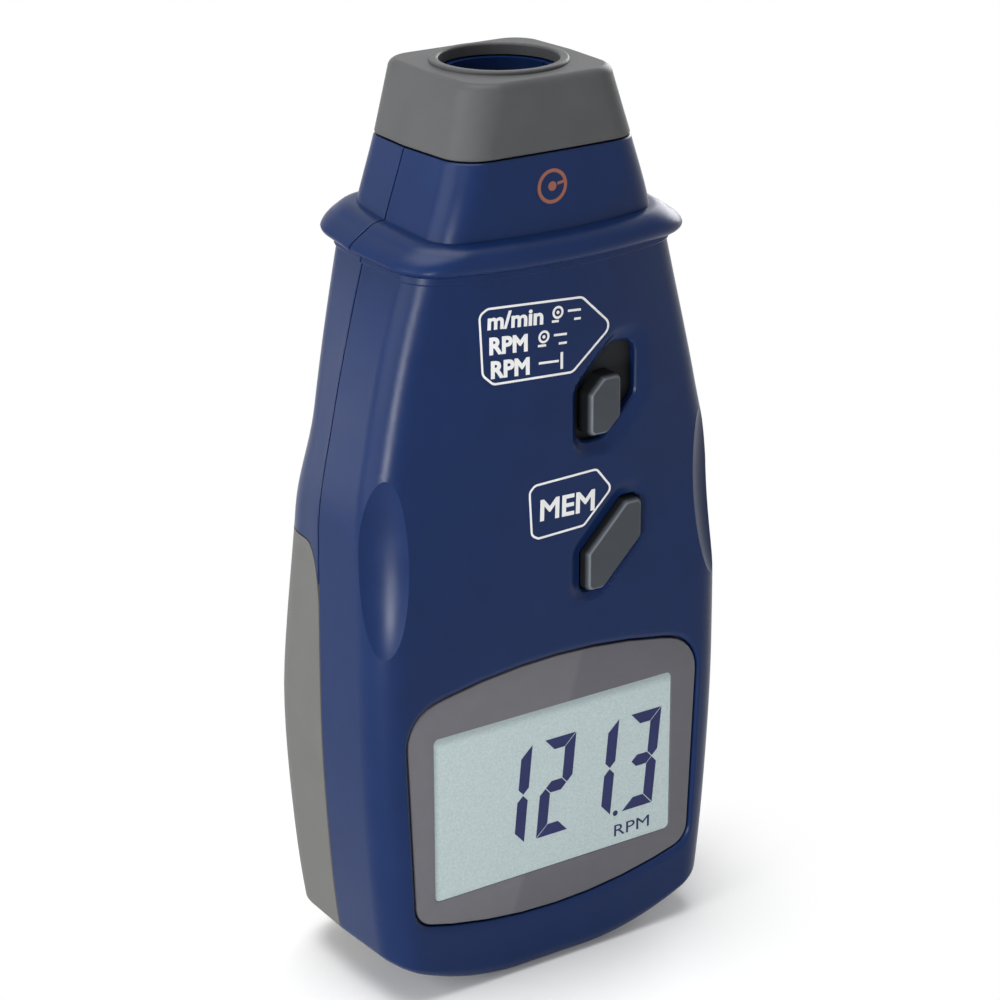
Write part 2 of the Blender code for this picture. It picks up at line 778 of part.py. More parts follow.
def board_screw_places():
    return [(side * BOARD_POST_X, BOARD_POST_HEIGHT) for side in (-1, 1)]


def button_face(z, proud):
    """X of the measuring button's sloping outer face at a height."""
    half = BUTTON_LENGTH / 2.0
    low, high = half_width(BUTTON_HEIGHT - half), half_width(BUTTON_HEIGHT + half)
    return half_width(BUTTON_HEIGHT) + proud - (low - high) / BUTTON_LENGTH * (z - BUTTON_HEIGHT)


def button_outline(grow, corner=BUTTON_CORNER):
    half_y, half_z = BUTTON_WIDTH / 2.0 + grow, BUTTON_LENGTH / 2.0 + grow
    return rounded_outline([(-half_y, -half_z), (half_y, -half_z), (half_y, half_z), (-half_y, half_z)],
                           corner + grow, CORNER_STEPS - 2)


def side_prism(name, stages):
    """A solid along X through outlines in Y and Z, each with a function that gives its X."""
    rings = []
    for outline, place in stages:
        rings.append([Vector((place(BUTTON_HEIGHT + p[1]), p[0], BUTTON_HEIGHT + p[1])) for p in outline])
    return loft(name, rings)


def button_hole(name):
    outline = button_outline(KEY_CLEARANCE)
    inner = half_width(BUTTON_HEIGHT) - 4 * WALL
    return side_prism(name, [(outline, lambda z: inner), (outline, lambda z: FAR)])


def holder_rib(name, front):
    """A web across the neck that carries the optics holder."""
    middle = window_back() - HOLDER_RIB_DROP
    lap = WALL / 2.0
    rib = coarse_envelope(name, [(middle, -lap), (middle + WALL, -lap)])
    keep(rib, half_space("half", front))
    hole = rod("hole", HOLDER_RADIUS + GAP, middle - WALL, middle + 2 * WALL, (0, 0, 0), steps=ROUND_STEPS)
    return cut(rib, hole)


def window_back():
    """Height of the underside of the nose window."""
    return SPIGOT_HEIGHT - SPIGOT_PLATE - GAP - WINDOW_THICKNESS


def spigot_bore(name):
    low = SPIGOT_HEIGHT - 2 * SPIGOT_PLATE
    return rod(name, SPIGOT_BORE_RADIUS, low, NOSE_HEIGHT + WALL, (0, 0, 0), steps=ROUND_STEPS)


def make_front_shell():
    shell = envelope("front_shell", case_levels())
    keep(shell, half_space("half", True))
    room = coarse_envelope("cavity", cavity_levels(WALL))
    cut(room, scoop("guard", -1, SCOOP_WALL), scoop("guard", 1, SCOOP_WALL))
    cut(shell, room)
    _, _, floor = lens_levels()
    ledge = prism("ledge", [(lens_outline(LEDGE_WIDTH), floor - GAP),
                            (lens_outline(LEDGE_WIDTH), floor + LEDGE_THICKNESS)])
    join(shell, ledge, holder_rib("rib", True))
    pocket = prism("pocket", [(lens_outline(LENS_LIP + LEAD), -FRONT_DEPTH - LEAD),
                              (lens_outline(0.0), -FRONT_DEPTH + LENS_LIP),
                              (lens_outline(0.0), floor)])
    half_x, half_z = LCD_WIDTH / 2.0 + GAP, LCD_HEIGHT / 2.0 + GAP
    opening = box("opening", (-half_x, -FAR, LCD_CENTRE - half_z),
                  (half_x, floor + 2 * WALL, LCD_CENTRE + half_z))
    cut(shell, pocket, opening)
    key_recess(shell, lambda grow, corner: knob_outline(grow, 1.0, corner), SLOT_MARGIN,
               SLOT_RECESS_SHIFT, slot_centre(), slot_floor(), SLOT_CLEARANCE)
    key_recess(shell, mem_outline, MEM_MARGIN, MEM_RECESS_SHIFT, mem_centre(), mem_floor(), KEY_CLEARANCE)
    swept, back = knob_outline(shutter_lap() + GAP, 3.0), slot_floor() + PAD_THICKNESS
    cut(shell, prism("room", [(swept, back), (swept, back + 4 * WALL)], slot_centre()))
    bores = []
    for x, z in screw_places():
        start = front_surface(abs(x) + BOSS_RADIUS, z) + WALL / 2.0
        deep = SCREW_SEAT - SCREW_LENGTH - 2 * GAP
        join(shell, rod("boss", BOSS_RADIUS, start, -PARTING, (x, 0, z), "Y"))
        bores.append(rod("bore", SCREW_RADIUS + GAP, deep, WALL, (x, 0, z), "Y"))
    for x, z in board_screw_places():
        start = front_surface(abs(x) + BOARD_POST_RADIUS, z) + WALL / 2.0
        deep = BOARD_FRONT + BOARD_THICKNESS - BOARD_SCREW_LENGTH - 2 * GAP
        join(shell, rod("post", BOARD_POST_RADIUS, start, BOARD_FRONT - GAP, (x, 0, z), "Y"))
        bores.append(rod("bore", BOARD_SCREW_RADIUS + GAP, deep, 0.0, (x, 0, z), "Y", FINE_STEPS))
    cut(shell, *bores)
    cut(shell, button_hole("hole"), spigot_bore("bore"), scoop("scoop", -1), scoop("scoop", 1))
    return finish(shell, (0.012, 0.030, 0.115), 0.42)


def cover_zone(name, grow):
    """Everything behind the parting plane and below the cover's top edge, as seen from the side."""
    top = COVER_HEIGHT + grow
    start = COVER_FRONT_HEIGHT + grow
    points = [(PARTING - grow, -FAR), (PARTING - grow, start)]
    for i in range(1, CORNER_STEPS + 1):
        angle = math.pi / 2.0 * i / CORNER_STEPS
        points.append((PARTING - grow + COVER_CURVE * (1.0 - math.cos(angle)),
                       start + (top - start) * math.sin(angle)))
    points += [(FAR, top), (FAR, -FAR)]
    rings = [[Vector((x, y, z)) for y, z in points] for x in (-FAR, FAR)]
    return loft(name, rings)


def tray_limit():
    """Half width that the tray keeps, so that the cover slides over it."""
    return half_width(COVER_HEIGHT) - COVER_WALL - 2 * GAP


def bay_half_width():
    return (CELL_COUNT * 2 * CELL_RADIUS + (CELL_COUNT + 1) * CELL_GAP) / 2.0


def bay_top():
    return BAY_BOTTOM + CELL_LENGTH + SPRING_LENGTH + 2 * CONTACT_THICKNESS + 5 * GAP


def bay_floor():
    """Y of the bay's floor, which the cells lie on."""
    return 2 * PARTING + BAY_WALL


def bay_box(name, wall):
    half = bay_half_width() + wall
    return box(name, (-half, bay_floor() - wall, BAY_BOTTOM - wall), (half, FAR, bay_top() + wall))


def make_rear_shell():
    shell = envelope("rear_shell", case_levels())
    cut(shell, cover_zone("zone", GAP))
    inset = COVER_WALL + GAP
    levels = edge_levels(inset, BASE_EDGE, -inset, steps=2)
    levels += [(level, -inset) for level in (BASE_BLEND, BELLY_HEIGHT, GRIP_HEIGHT)]
    tray = envelope("tray", levels, CORNER_STEPS, TRAY_CROWN_STEPS, tray_limit())
    join(shell, tray)
    keep(shell, half_space("half", False))
    room = coarse_envelope("cavity", cavity_levels(inset + TRAY_WALL), tray_limit() - TRAY_WALL)
    cut(room, bay_box("bay", BAY_WALL))
    cut(shell, room, bay_box("bay", 0.0))
    join(shell, holder_rib("rib", False))
    bore, well = SCREW_RADIUS + GAP, SCREW_HEAD_RADIUS + GAP
    profile = ((bore, -WALL), (bore, SCREW_SEAT), (well, SCREW_SEAT), (well, FAR))
    wells = []
    for x, z in screw_places():
        back = rear_depth(z) - (WALL / 2.0 if z > COVER_HEIGHT else inset + TRAY_WALL / 2.0)
        join(shell, rod("boss", BOSS_RADIUS, PARTING, back, (x, 0, z), "Y"))
        wells.append(turned("well", profile, SMALL_STEPS, (x, 0, z), "Y"))
    cut(shell, *wells)
    cut(shell, button_hole("hole"), spigot_bore("bore"))
    return finish(shell, (0.012, 0.030, 0.115), 0.42)


def make_battery_cover():
    levels = [(level, grow) for level, grow in case_levels() if level < COLLAR_HEIGHT - 3 * BEAD_RADIUS]
    cover = envelope("battery_cover", levels)
    inset = COVER_WALL
    room = edge_levels(inset, BASE_EDGE, -inset, steps=2)
    room += [(level, -inset) for level in (BASE_BLEND, BELLY_HEIGHT, GRIP_HEIGHT, CHEST_HEIGHT)]
    cut(cover, envelope("room", room, CORNER_STEPS, TRAY_CROWN_STEPS))
    keep(cover, cover_zone("zone", 0.0))
    finish(cover, (0.21, 0.21, 0.20), 0.5)
    return set_origin(cover, (0.0, FOOT_REAR_DEPTH / 2.0, 0.0))


def make_nose_cap():
    low = SEAM_HEIGHT + GAP
    top = NOSE_HEIGHT - RIM_STEP
    levels = [(low, 0.0)] + [(level, 0.0) for level in spread(low, top - CAP_EDGE, 1)]
    steps = 3
    for i in range(steps + 1):
        angle = math.pi / 2.0 * i / steps
        levels.append((top - CAP_EDGE * (1.0 - math.sin(angle)), -CAP_EDGE * (1.0 - math.cos(angle))))
    cap = envelope("nose_cap", levels)
    join(cap, rod("rim", BORE_RADIUS + RIM_WIDTH, top - RIM_STEP, NOSE_HEIGHT, (0, 0, 0), steps=RIM_STEPS))
    inside = [(low - WALL, -CAP_WALL), (SPIGOT_HEIGHT + GAP, -CAP_WALL)]
    bore = rod("bore", BORE_RADIUS, low, NOSE_HEIGHT + WALL, (0, 0, 0), steps=RIM_STEPS)
    cut(cap, envelope("room", inside), bore)
    return finish(cap, (0.085, 0.087, 0.09), 0.5)


def make_nose_window():
    low = window_back()
    radius = SPIGOT_BORE_RADIUS + WINDOW_LIP
    window = rod("nose_window", radius, low, low + WINDOW_THICKNESS, (0, 0, 0), steps=ROUND_STEPS)
    return finish(window, (0.03, 0.01, 0.015), 0.08)


def make_optics():
    """The holder behind the nose window and what it carries."""
    top = window_back() - GAP
    low = top - HOLDER_LENGTH
    holder = rod("optics_holder", HOLDER_RADIUS, low, top, (0, 0, 0), steps=ROUND_STEPS)
    cut(holder, rod("bore", LASER_RADIUS + GAP, low - WALL, top + WALL, (LASER_X, 0, 0)),
        rod("bore", RECEIVER_RADIUS + GAP, low - WALL, top + WALL, (RECEIVER_X, 0, 0)))
    finish(holder, (0.02, 0.02, 0.02), 0.6)
    laser_top = top - OPTICS_SUNK
    lens_low = laser_top - LASER_LENS_THICKNESS
    laser = rod("laser_module", LASER_RADIUS, laser_top - LASER_LENGTH, laser_top, (LASER_X, 0, 0))
    cut(laser, rod("bore", LASER_LENS_RADIUS + GAP, lens_low - 2 * GAP, laser_top + WALL, (LASER_X, 0, 0)))
    finish(laser, (0.55, 0.38, 0.13), 0.3, 1.0)
    profile = ((LASER_LENS_RADIUS, lens_low), (LASER_LENS_RADIUS, laser_top - LASER_LENS_EDGE),
               (LASER_LENS_RADIUS - LASER_LENS_EDGE, laser_top))
    lens = turned("laser_lens", profile, SMALL_STEPS, (LASER_X, 0, 0))
    finish(lens, (0.5, 0.1, 0.1), 0.05)
    profile = [(RECEIVER_RADIUS, laser_top)]
    for i in range(3):
        angle = math.radians(35.0 * i)
        profile.append((RECEIVER_RADIUS * math.cos(angle),
                        laser_top + RECEIVER_EDGE + RECEIVER_DOME * math.sin(angle)))
    receiver = turned("receiver_lens", profile, SMALL_STEPS, (RECEIVER_X, 0, 0))
    finish(receiver, (0.6, 0.1, 0.1), 0.05)
    sensor = rod("photo_sensor", SENSOR_RADIUS, low + GAP, low + GAP + SENSOR_LENGTH, (RECEIVER_X, 0, 0))
    finish(sensor, (0.05, 0.05, 0.06), 0.3)
    half_x, half_y = OPTICS_BOARD_HALF_WIDTH, OPTICS_BOARD_HALF_DEPTH
    board = box("optics_board", (-half_x, -half_y, low - GAP - OPTICS_BOARD_THICKNESS),
                (half_x, half_y, low - GAP))
    finish(board, (0.01, 0.12, 0.05), 0.5)


def make_display():
    """The window, the liquid crystal panel behind it, its frame and its two contact strips."""
    face, back, _ = lens_levels()
    window = prism("display_window", [(lens_outline(-GAP - LENS_BEVEL), face),
                                      (lens_outline(-GAP), face + LENS_BEVEL), (lens_outline(-GAP), back)])
    finish(window, (0.10, 0.10, 0.11), 0.08)
    front = lcd_front()
    rear = front + LCD_THICKNESS
    half_x, half_z = LCD_WIDTH / 2.0, LCD_HEIGHT / 2.0
    panel = box("lcd_panel", (-half_x, front, LCD_CENTRE - half_z), (half_x, rear, LCD_CENTRE + half_z))
    finish(panel, (0.45, 0.55, 0.50), 0.25)
    frame_front = lens_levels()[2] + LEDGE_THICKNESS + GAP
    frame_back = BOARD_FRONT - GAP
    rim_x, rim_z = half_x + FRAME_RIM, half_z + FRAME_RIM
    frame = box("lcd_frame", (-rim_x, frame_front, LCD_CENTRE - rim_z),
                (rim_x, frame_back, LCD_CENTRE + rim_z))
    cut(frame, box("pocket", (-half_x - GAP, -FAR, LCD_CENTRE - half_z - GAP),
                   (half_x + GAP, rear + GAP, LCD_CENTRE + half_z + GAP)))
    channel = STRIP_HEIGHT + 2 * GAP
    strip_half = half_x - 2 * FRAME_RIM
    for side, label in ((1, "upper"), (-1, "lower")):
        outer = LCD_CENTRE + side * (half_z - GAP)
        inner = outer - side * STRIP_HEIGHT
        low, high = min(outer, inner), max(outer, inner)
        strip = box("zebra_strip_" + label, (-strip_half, rear + GAP, low), (strip_half, frame_back, high))
        finish(strip, (0.25, 0.25, 0.25), 0.7)
        cut(frame, box("channel", (-strip_half - GAP, -FAR, low - GAP),
                       (strip_half + GAP, 0.0, high + GAP)))
    back_half_z = half_z - channel - FRAME_RIM
    cut(frame, box("window", (-strip_half, rear + FRAME_RIM, LCD_CENTRE - back_half_z),
                   (strip_half, 0.0, LCD_CENTRE + back_half_z)))
    finish(frame, (0.6, 0.6, 0.58), 0.5)


def make_board():
    """The main circuit board and the loose parts soldered to it."""
    back = BOARD_FRONT + BOARD_THICKNESS
    neck_start = BOARD_SHOULDER + BOARD_HALF_WIDTH - BOARD_NECK_HALF_WIDTH
    right = [(BOARD_HALF_WIDTH, BOARD_BOTTOM), (BOARD_HALF_WIDTH, BOARD_SHOULDER),
             (BOARD_NECK_HALF_WIDTH, neck_start), (BOARD_NECK_HALF_WIDTH, BOARD_TOP)]
    corners = right + [(-x, z) for x, z in reversed(right)]
    board = prism("main_board", [(corners, BOARD_FRONT), (corners, back)])
    for x, z in board_screw_places():
        low, high = BOARD_FRONT - WALL, back + WALL
        cut(board, rod("hole", BOARD_SCREW_RADIUS + GAP, low, high, (x, 0, z), "Y", FINE_STEPS))
    finish(board, (0.01, 0.12, 0.05), 0.5)
    seat = back + GAP
    half = CHIP_SIZE / 2.0
    top = LCD_CENTRE + half
    chip = box("processor_chip", (-half, seat, LCD_CENTRE - half), (half, seat + CHIP_THICKNESS, top))
    finish(chip, (0.02, 0.02, 0.02), 0.5)
    start = half + 2 * CRYSTAL_RADIUS
    crystal = rod("quartz_crystal", CRYSTAL_RADIUS, start, start + CRYSTAL_LENGTH,
                  (0, seat + CRYSTAL_RADIUS, top), "X", FINE_STEPS)
    finish(crystal, (0.7, 0.7, 0.68), 0.25, 1.0)
    capacitor = rod("filter_capacitor", CAPACITOR_RADIUS, seat, seat + CAPACITOR_LENGTH,
                    (CAPACITOR_X, 0, CAPACITOR_BOARD_HEIGHT), "Y")
    finish(capacitor, (0.03, 0.03, 0.08), 0.4)


def shutter_lap():
    """How far the shutter reaches past the knob's outline on every side, apart from its travel."""
    return SLOT_CLEARANCE + SHUTTER_LAP


def key_levels(floor):
    """Y of the front and the back of a key's flange, behind the pad."""
    flange_front = floor + PAD_THICKNESS + GAP
    return flange_front, flange_front + FLANGE_THICKNESS


def make_mem_key():
    """The memory key, its switch on the board and the switch's plunger."""
    centre = mem_centre()
    floor = mem_floor()
    flange_front, flange_back = key_levels(floor)
    top = front_surface(*centre) - KEY_PROUD
    face, outline, flange = mem_outline(-KEY_CHAMFER), mem_outline(), mem_outline(FLANGE_WIDTH)
    key = prism("mem_key", [(face, top), (outline, top + KEY_CHAMFER), (outline, flange_front),
                            (flange, flange_front), (flange, flange_back)], centre)
    finish(key, (0.055, 0.06, 0.065), 0.5)
    set_origin(key, (centre[0], top, centre[1]))
    switch_front = BOARD_FRONT - GAP - SWITCH_HEIGHT
    bottom = switch_front + PLUNGER_SUNK
    place = (centre[0], 0, centre[1])
    plunger = rod("mem_plunger", PLUNGER_RADIUS, flange_back + GAP, bottom, place, "Y", FINE_STEPS)
    finish(plunger, (0.02, 0.02, 0.02), 0.5)
    half = SWITCH_SIZE / 2.0
    switch = box("mem_switch", (centre[0] - half, switch_front, centre[1] - half),
                 (centre[0] + half, BOARD_FRONT - GAP, centre[1] + half))
    cut(switch, rod("bore", PLUNGER_RADIUS + GAP, switch_front - WALL, bottom + MEM_TRAVEL + GAP, place, "Y",
                    FINE_STEPS))
    finish(switch, (0.03, 0.03, 0.03), 0.5)


def make_mode_switch():
    """The mode knob, the shutter that keeps its slot closed and the slide switch behind them."""
    floor = slot_floor()
    pad_back = floor + PAD_THICKNESS
    shutter_front = pad_back + GAP
    shutter_back = shutter_front + SHUTTER_THICKNESS
    centre = (KNOB_X, KNOB_HEIGHT)
    top = front_surface(*slot_centre()) - KEY_PROUD
    knob = prism("mode_knob", [(knob_outline(-KEY_CHAMFER), top), (knob_outline(), top + KEY_CHAMFER),
                               (knob_outline(), pad_back)], centre)
    switch_front = BOARD_FRONT - GAP - SWITCH_HEIGHT
    place = (KNOB_X, 0, KNOB_HEIGHT)
    join(knob, rod("stem", STEM_RADIUS, pad_back - WALL, switch_front + STEM_SUNK, place, "Y"))
    finish(knob, (0.055, 0.06, 0.065), 0.5)
    set_origin(knob, (KNOB_X, top, KNOB_HEIGHT))
    outline = knob_outline(shutter_lap(), 2.0)
    shutter = prism("mode_shutter", [(outline, shutter_front), (outline, shutter_back)], centre)
    cut(shutter, rod("hole", STEM_RADIUS + GAP, shutter_front - WALL, shutter_back + WALL, place, "Y"))
    finish(shutter, (0.015, 0.015, 0.017), 0.5)
    set_origin(shutter, (KNOB_X, shutter_front, KNOB_HEIGHT))
    half_x, half_z = SLIDE_SWITCH_WIDTH / 2.0, SLIDE_SWITCH_LENGTH / 2.0
    switch = box("mode_switch", (-half_x, switch_front, -half_z), (half_x, BOARD_FRONT - GAP, half_z))
    slot_half = SLIDE_TRAVEL / 2.0 + STEM_RADIUS + GAP
    cut(switch, box("slot", (-STEM_RADIUS - GAP, switch_front - WALL, -slot_half),
                    (STEM_RADIUS + GAP, switch_front + STEM_SUNK + GAP, slot_half)))
    middle = slot_centre()
    turn = Matrix.Rotation(SLIDE_ANGLE, 4, "Y")
    switch.data.transform(Matrix.Translation((middle[0], 0, middle[1])) @ turn)
    finish(switch, (0.4, 0.4, 0.42), 0.35, 1.0)


def make_measure_button():
    """The measuring button on the right side, its switch and the switch's plunger."""
    half = BUTTON_LENGTH / 2.0
    wall_face = half_width(BUTTON_HEIGHT + half + FLANGE_WIDTH) - WALL - SIDE_DRAFT * BUTTON_WIDTH
    flange_outer = wall_face - GAP
    flange_inner = flange_outer - FLANGE_THICKNESS
    button = side_prism("measure_button", [
        (button_outline(FLANGE_WIDTH), lambda z: flange_inner),
        (button_outline(FLANGE_WIDTH), lambda z: flange_outer),
        (button_outline(0.0), lambda z: flange_outer),
        (button_outline(0.0), lambda z: button_face(z, BUTTON_PROUD - KEY_CHAMFER)),
        (button_outline(-KEY_CHAMFER), lambda z: button_face(z, BUTTON_PROUD))])
    finish(button, (0.055, 0.06, 0.065), 0.5)
    set_origin(button, (half_width(BUTTON_HEIGHT), 0.0, BUTTON_HEIGHT))
    board_back = BOARD_FRONT + BOARD_THICKNESS + GAP
    place = (0, board_back + SWITCH_SIZE / 2.0, BUTTON_HEIGHT)
    switch_outer = flange_inner - GAP - MEASURE_PLUNGER_PROUD
    bottom = switch_outer - PLUNGER_SUNK
    plunger = rod("measure_plunger", PLUNGER_RADIUS, bottom, flange_inner - GAP, place, "X", FINE_STEPS)
    finish(plunger, (0.02, 0.02, 0.02), 0.5)
    half_z = SWITCH_SIZE / 2.0
    switch = box("measure_switch", (switch_outer - SWITCH_SIZE, board_back, BUTTON_HEIGHT - half_z),
                 (switch_outer, board_back + SWITCH_SIZE, BUTTON_HEIGHT + half_z))
    deep = bottom - BUTTON_TRAVEL - GAP
    cut(switch, rod("bore", PLUNGER_RADIUS + GAP, deep, switch_outer + WALL, place, "X", FINE_STEPS))
    finish(switch, (0.03, 0.03, 0.03), 0.5)


def cell_place(index):
    """X and Y of one cell's axis."""
    pitch = 2 * CELL_RADIUS + CELL_GAP
    return (index - (CELL_COUNT - 1) / 2.0) * pitch, bay_floor() + GAP + CELL_RADIUS


def make_cell(index):
    """One AA cell, every second one upside down."""
    x, y = cell_place(index)
    body = CELL_LENGTH - CELL_NIPPLE_LENGTH
    inner = CELL_RADIUS - CELL_EDGE
    profile = ((inner, 0.0), (CELL_RADIUS, CELL_EDGE), (CELL_RADIUS, body - CELL_EDGE), (inner, body),
               (CELL_NIPPLE_RADIUS, body), (CELL_NIPPLE_RADIUS, CELL_LENGTH))
    start = BAY_BOTTOM + 3 * GAP + CONTACT_THICKNESS + SPRING_LENGTH
    cell = turned("battery_%d" % (index + 1), profile, 24)
    if index % 2:
        cell.data.transform(Matrix.Rotation(math.pi, 4, "X"))
        start = bay_top() - 3 * GAP - CONTACT_THICKNESS - SPRING_LENGTH
    cell.data.transform(Matrix.Translation((x, y, start)))
    return finish(cell, (0.45, 0.30, 0.08), 0.35, 0.6)


def make_spring(index):
    """The coil that presses on a cell's flat end."""
    x, y = cell_place(index)
    steps, sides = 10 * SPRING_TURNS, 5
    rings = []
    rise = SPRING_LENGTH - 2 * SPRING_WIRE
    for i in range(steps + 1):
        t = i / steps
        turn = 2 * math.pi * SPRING_TURNS * t
        radius = SPRING_RADIUS * (1.0 - SPRING_TAPER * t)
        centre = Vector((radius * math.cos(turn), radius * math.sin(turn), SPRING_WIRE + rise * t))
        out = Vector((math.cos(turn), math.sin(turn), 0.0))
        rings.append([centre + SPRING_WIRE * (out * math.cos(a) + Vector((0, 0, 1)) * math.sin(a))
                      for a in (2 * math.pi * k / sides for k in range(sides))])
    spring = loft("battery_spring_%d" % (index + 1), rings)
    if index % 2:
        spring.data.transform(Matrix.Rotation(math.pi, 4, "X"))
        start = bay_top() - 2 * GAP - CONTACT_THICKNESS
    else:
        start = BAY_BOTTOM + 2 * GAP + CONTACT_THICKNESS
    spring.data.transform(Matrix.Translation((x, y, start)))
    return finish(spring, (0.6, 0.6, 0.6), 0.25, 1.0)


def make_contacts():
    """Flat contact plates: two pairs below, one pair and two single ones above."""
    y = cell_place(0)[1]
    half = CONTACT_HALF_WIDTH
    low = (BAY_BOTTOM + GAP, BAY_BOTTOM + GAP + CONTACT_THICKNESS)
    high = (bay_top() - GAP - CONTACT_THICKNESS, bay_top() - GAP)
    groups = [("lower_contact_1", (0, 1), low), ("lower_contact_2", (2, 3), low),
              ("upper_contact_1", (0, 0), high), ("upper_contact_2", (1, 2), high),
              ("upper_contact_3", (3, 3), high)]
    for name, (first, last), (z0, z1) in groups:
        x0 = cell_place(first)[0] - half
        x1 = cell_place(last)[0] + half
        plate = box(name, (x0, y - half, z0), (x1, y + half, z1))
        finish(plate, (0.6, 0.6, 0.6), 0.25, 1.0)


def make_screw(name, x, z, seat, length, radius, head_radius):
    """A pan-head screw along Y with a crossed drive."""
    head = SCREW_HEAD_HEIGHT
    seat += GAP / 2
    profile = ((radius * 0.5, -length), (radius, -length + radius), (radius, 0.0), (head_radius, 0.0),
               (head_radius, head * 0.6), (head_radius * 0.7, head))
    screw = turned(name, profile, SMALL_STEPS, (x, seat, z), "Y")
    reach, half, deep = head_radius * 0.6, head_radius * 0.11, head * 0.55
    top = seat + head + WALL
    cross = box("cross", (x - reach, seat + head - deep, z - half), (x + reach, top, z + half))
    join(cross, box("cross", (x - half, seat + head - deep, z - reach), (x + half, top, z + reach)))
    cut(screw, cross)
    return finish(screw, (0.5, 0.5, 0.52), 0.35, 1.0)


def make_screws():
    for index, (x, z) in enumerate(screw_places()):
        make_screw("case_screw_%d" % (index + 1), x, z, SCREW_SEAT, SCREW_LENGTH, SCREW_RADIUS,
                   SCREW_HEAD_RADIUS)
    board_back = BOARD_FRONT + BOARD_THICKNESS
    for index, (x, z) in enumerate(board_screw_places()):
        make_screw("board_screw_%d" % (index + 1), x, z, board_back + GAP / 2, BOARD_SCREW_LENGTH,
                   BOARD_SCREW_RADIUS, BOARD_SCREW_HEAD_RADIUS)


def main():
    for item in list(bpy.data.objects):
        bpy.data.objects.remove(item)
    make_front_shell()
    make_rear_shell()
    make_battery_cover()
    make_nose_cap()
    make_nose_window()
    make_optics()
    make_display()
    make_board()
    make_mem_key()
    make_mode_switch()
    make_measure_button()
    for index in range(CELL_COUNT):
        make_cell(index)
        make_spring(index)
    make_contacts()
    make_screws()


main()
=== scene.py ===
"""Looks of the hand-held laser tachometer, laid over the part that was built as solids."""

import math

import bmesh
import bpy
import numpy as np
from mathutils import Matrix, Vector
from mathutils.bvhtree import BVHTree


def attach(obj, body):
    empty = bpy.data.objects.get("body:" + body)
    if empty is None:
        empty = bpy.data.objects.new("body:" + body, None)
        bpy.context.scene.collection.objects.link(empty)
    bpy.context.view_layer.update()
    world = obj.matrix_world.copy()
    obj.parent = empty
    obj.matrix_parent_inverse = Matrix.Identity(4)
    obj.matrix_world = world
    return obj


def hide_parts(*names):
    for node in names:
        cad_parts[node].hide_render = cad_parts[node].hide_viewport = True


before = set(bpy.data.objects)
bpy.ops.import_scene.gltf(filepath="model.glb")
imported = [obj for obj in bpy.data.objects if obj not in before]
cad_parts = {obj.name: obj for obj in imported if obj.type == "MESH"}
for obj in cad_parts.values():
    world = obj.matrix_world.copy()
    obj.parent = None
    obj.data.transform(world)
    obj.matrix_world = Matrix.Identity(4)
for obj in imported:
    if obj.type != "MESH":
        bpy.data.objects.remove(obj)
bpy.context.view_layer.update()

# Sizes in metres, the same as the solids have
REAR_BELLY_HEIGHT = 0.0416
BELLY_HEIGHT = 0.052
GRIP_RISE = 0.033
CHEST_RISE = 0.018
COLLAR_RISE = 0.0304
NECK_RISE = 0.0139
CAP_RISE = 0.0127
FOOT_HALF_WIDTH = 0.0342
BELLY_HALF_WIDTH = 0.0371
GRIP_HALF_WIDTH = 0.0366
CHEST_HALF_WIDTH = 0.0335
SHOULDER_HALF_WIDTH = 0.0259
SEAM_HALF_WIDTH = 0.0188
NOSE_HALF_WIDTH = 0.0150
FRONT_DEPTH = 0.0176
NECK_FRONT_DEPTH = 0.0179
SEAM_FRONT_DEPTH = 0.0163
NOSE_FRONT_DEPTH = 0.0150
FOOT_REAR_DEPTH = 0.0188
BELLY_REAR_DEPTH = 0.0202
GRIP_REAR_DEPTH = 0.0163
CHEST_REAR_DEPTH = 0.0126
NECK_REAR_DEPTH = 0.0134
NOSE_REAR_DEPTH = 0.0144
FRONT_CORNER = 0.0062
REAR_CORNER = 0.0078
GRIP_REAR_CORNER = 0.0100
NECK_REAR_CORNER = 0.0054
CROWN_RADIUS = 0.088
REAR_CROWN_RADIUS = 0.600
SIDE_DRAFT = 0.035
BASE_FLAT = 0.0070
BASE_CURVE = 0.0430
BASE_BLEND = 0.024
BASE_EDGE = 0.0032
NECK_STEP = 0.0025
BEAD_RADIUS = 0.0025
BEAD_OUT = 0.0012
BEAD_LEDGE = 0.0005
BEAD_LEDGE_HEIGHT = 0.0016
COLLAR_TILT = 0.07
WALL = 0.0020
COVER_WALL = 0.0018
CAP_WALL = 0.0018
SPIGOT_WALL = 0.0014
TRAY_WALL = 0.0018
GAP = 0.0003
KEY_CLEARANCE = 0.00035
BORE_RADIUS = 0.0100
RIM_WIDTH = 0.0016
RIM_STEP = 0.0006
CAP_EDGE = 0.0012
SPIGOT_BORE_RADIUS = 0.0090
SPIGOT_PLATE = 0.0020
SPIGOT_DROP = 0.0022
LENS_HALF_WIDTH = 0.0308
LENS_FOOT_HALF_WIDTH = 0.0292
LENS_BOTTOM = 0.0109
LENS_TOP = 0.0592
LENS_TOP_ARCH = 0.0042
LENS_BOTTOM_ARCH = 0.0044
LENS_CORNER = 0.0044
LENS_TOP_CORNER = 0.0075
LENS_SUNK = 0.0006
LENS_THICKNESS = 0.0012
LEDGE_WIDTH = 0.0016
LEDGE_THICKNESS = 0.0016
LCD_WIDTH = 0.0530
LCD_HEIGHT = 0.0345
LCD_CENTRE = 0.0348
KNOB_X = 0.0092
KNOB_RISE = 0.0255
KNOB_HALF_WIDTH = 0.0033
KNOB_HALF_HEIGHT = 0.00515
KNOB_BAND = 0.00560
SLIDE_ANGLE = math.radians(38.0)
SLIDE_TRAVEL = 0.0046
SLOT_CLEARANCE = 0.0014
SLOT_MARGIN = 0.0038
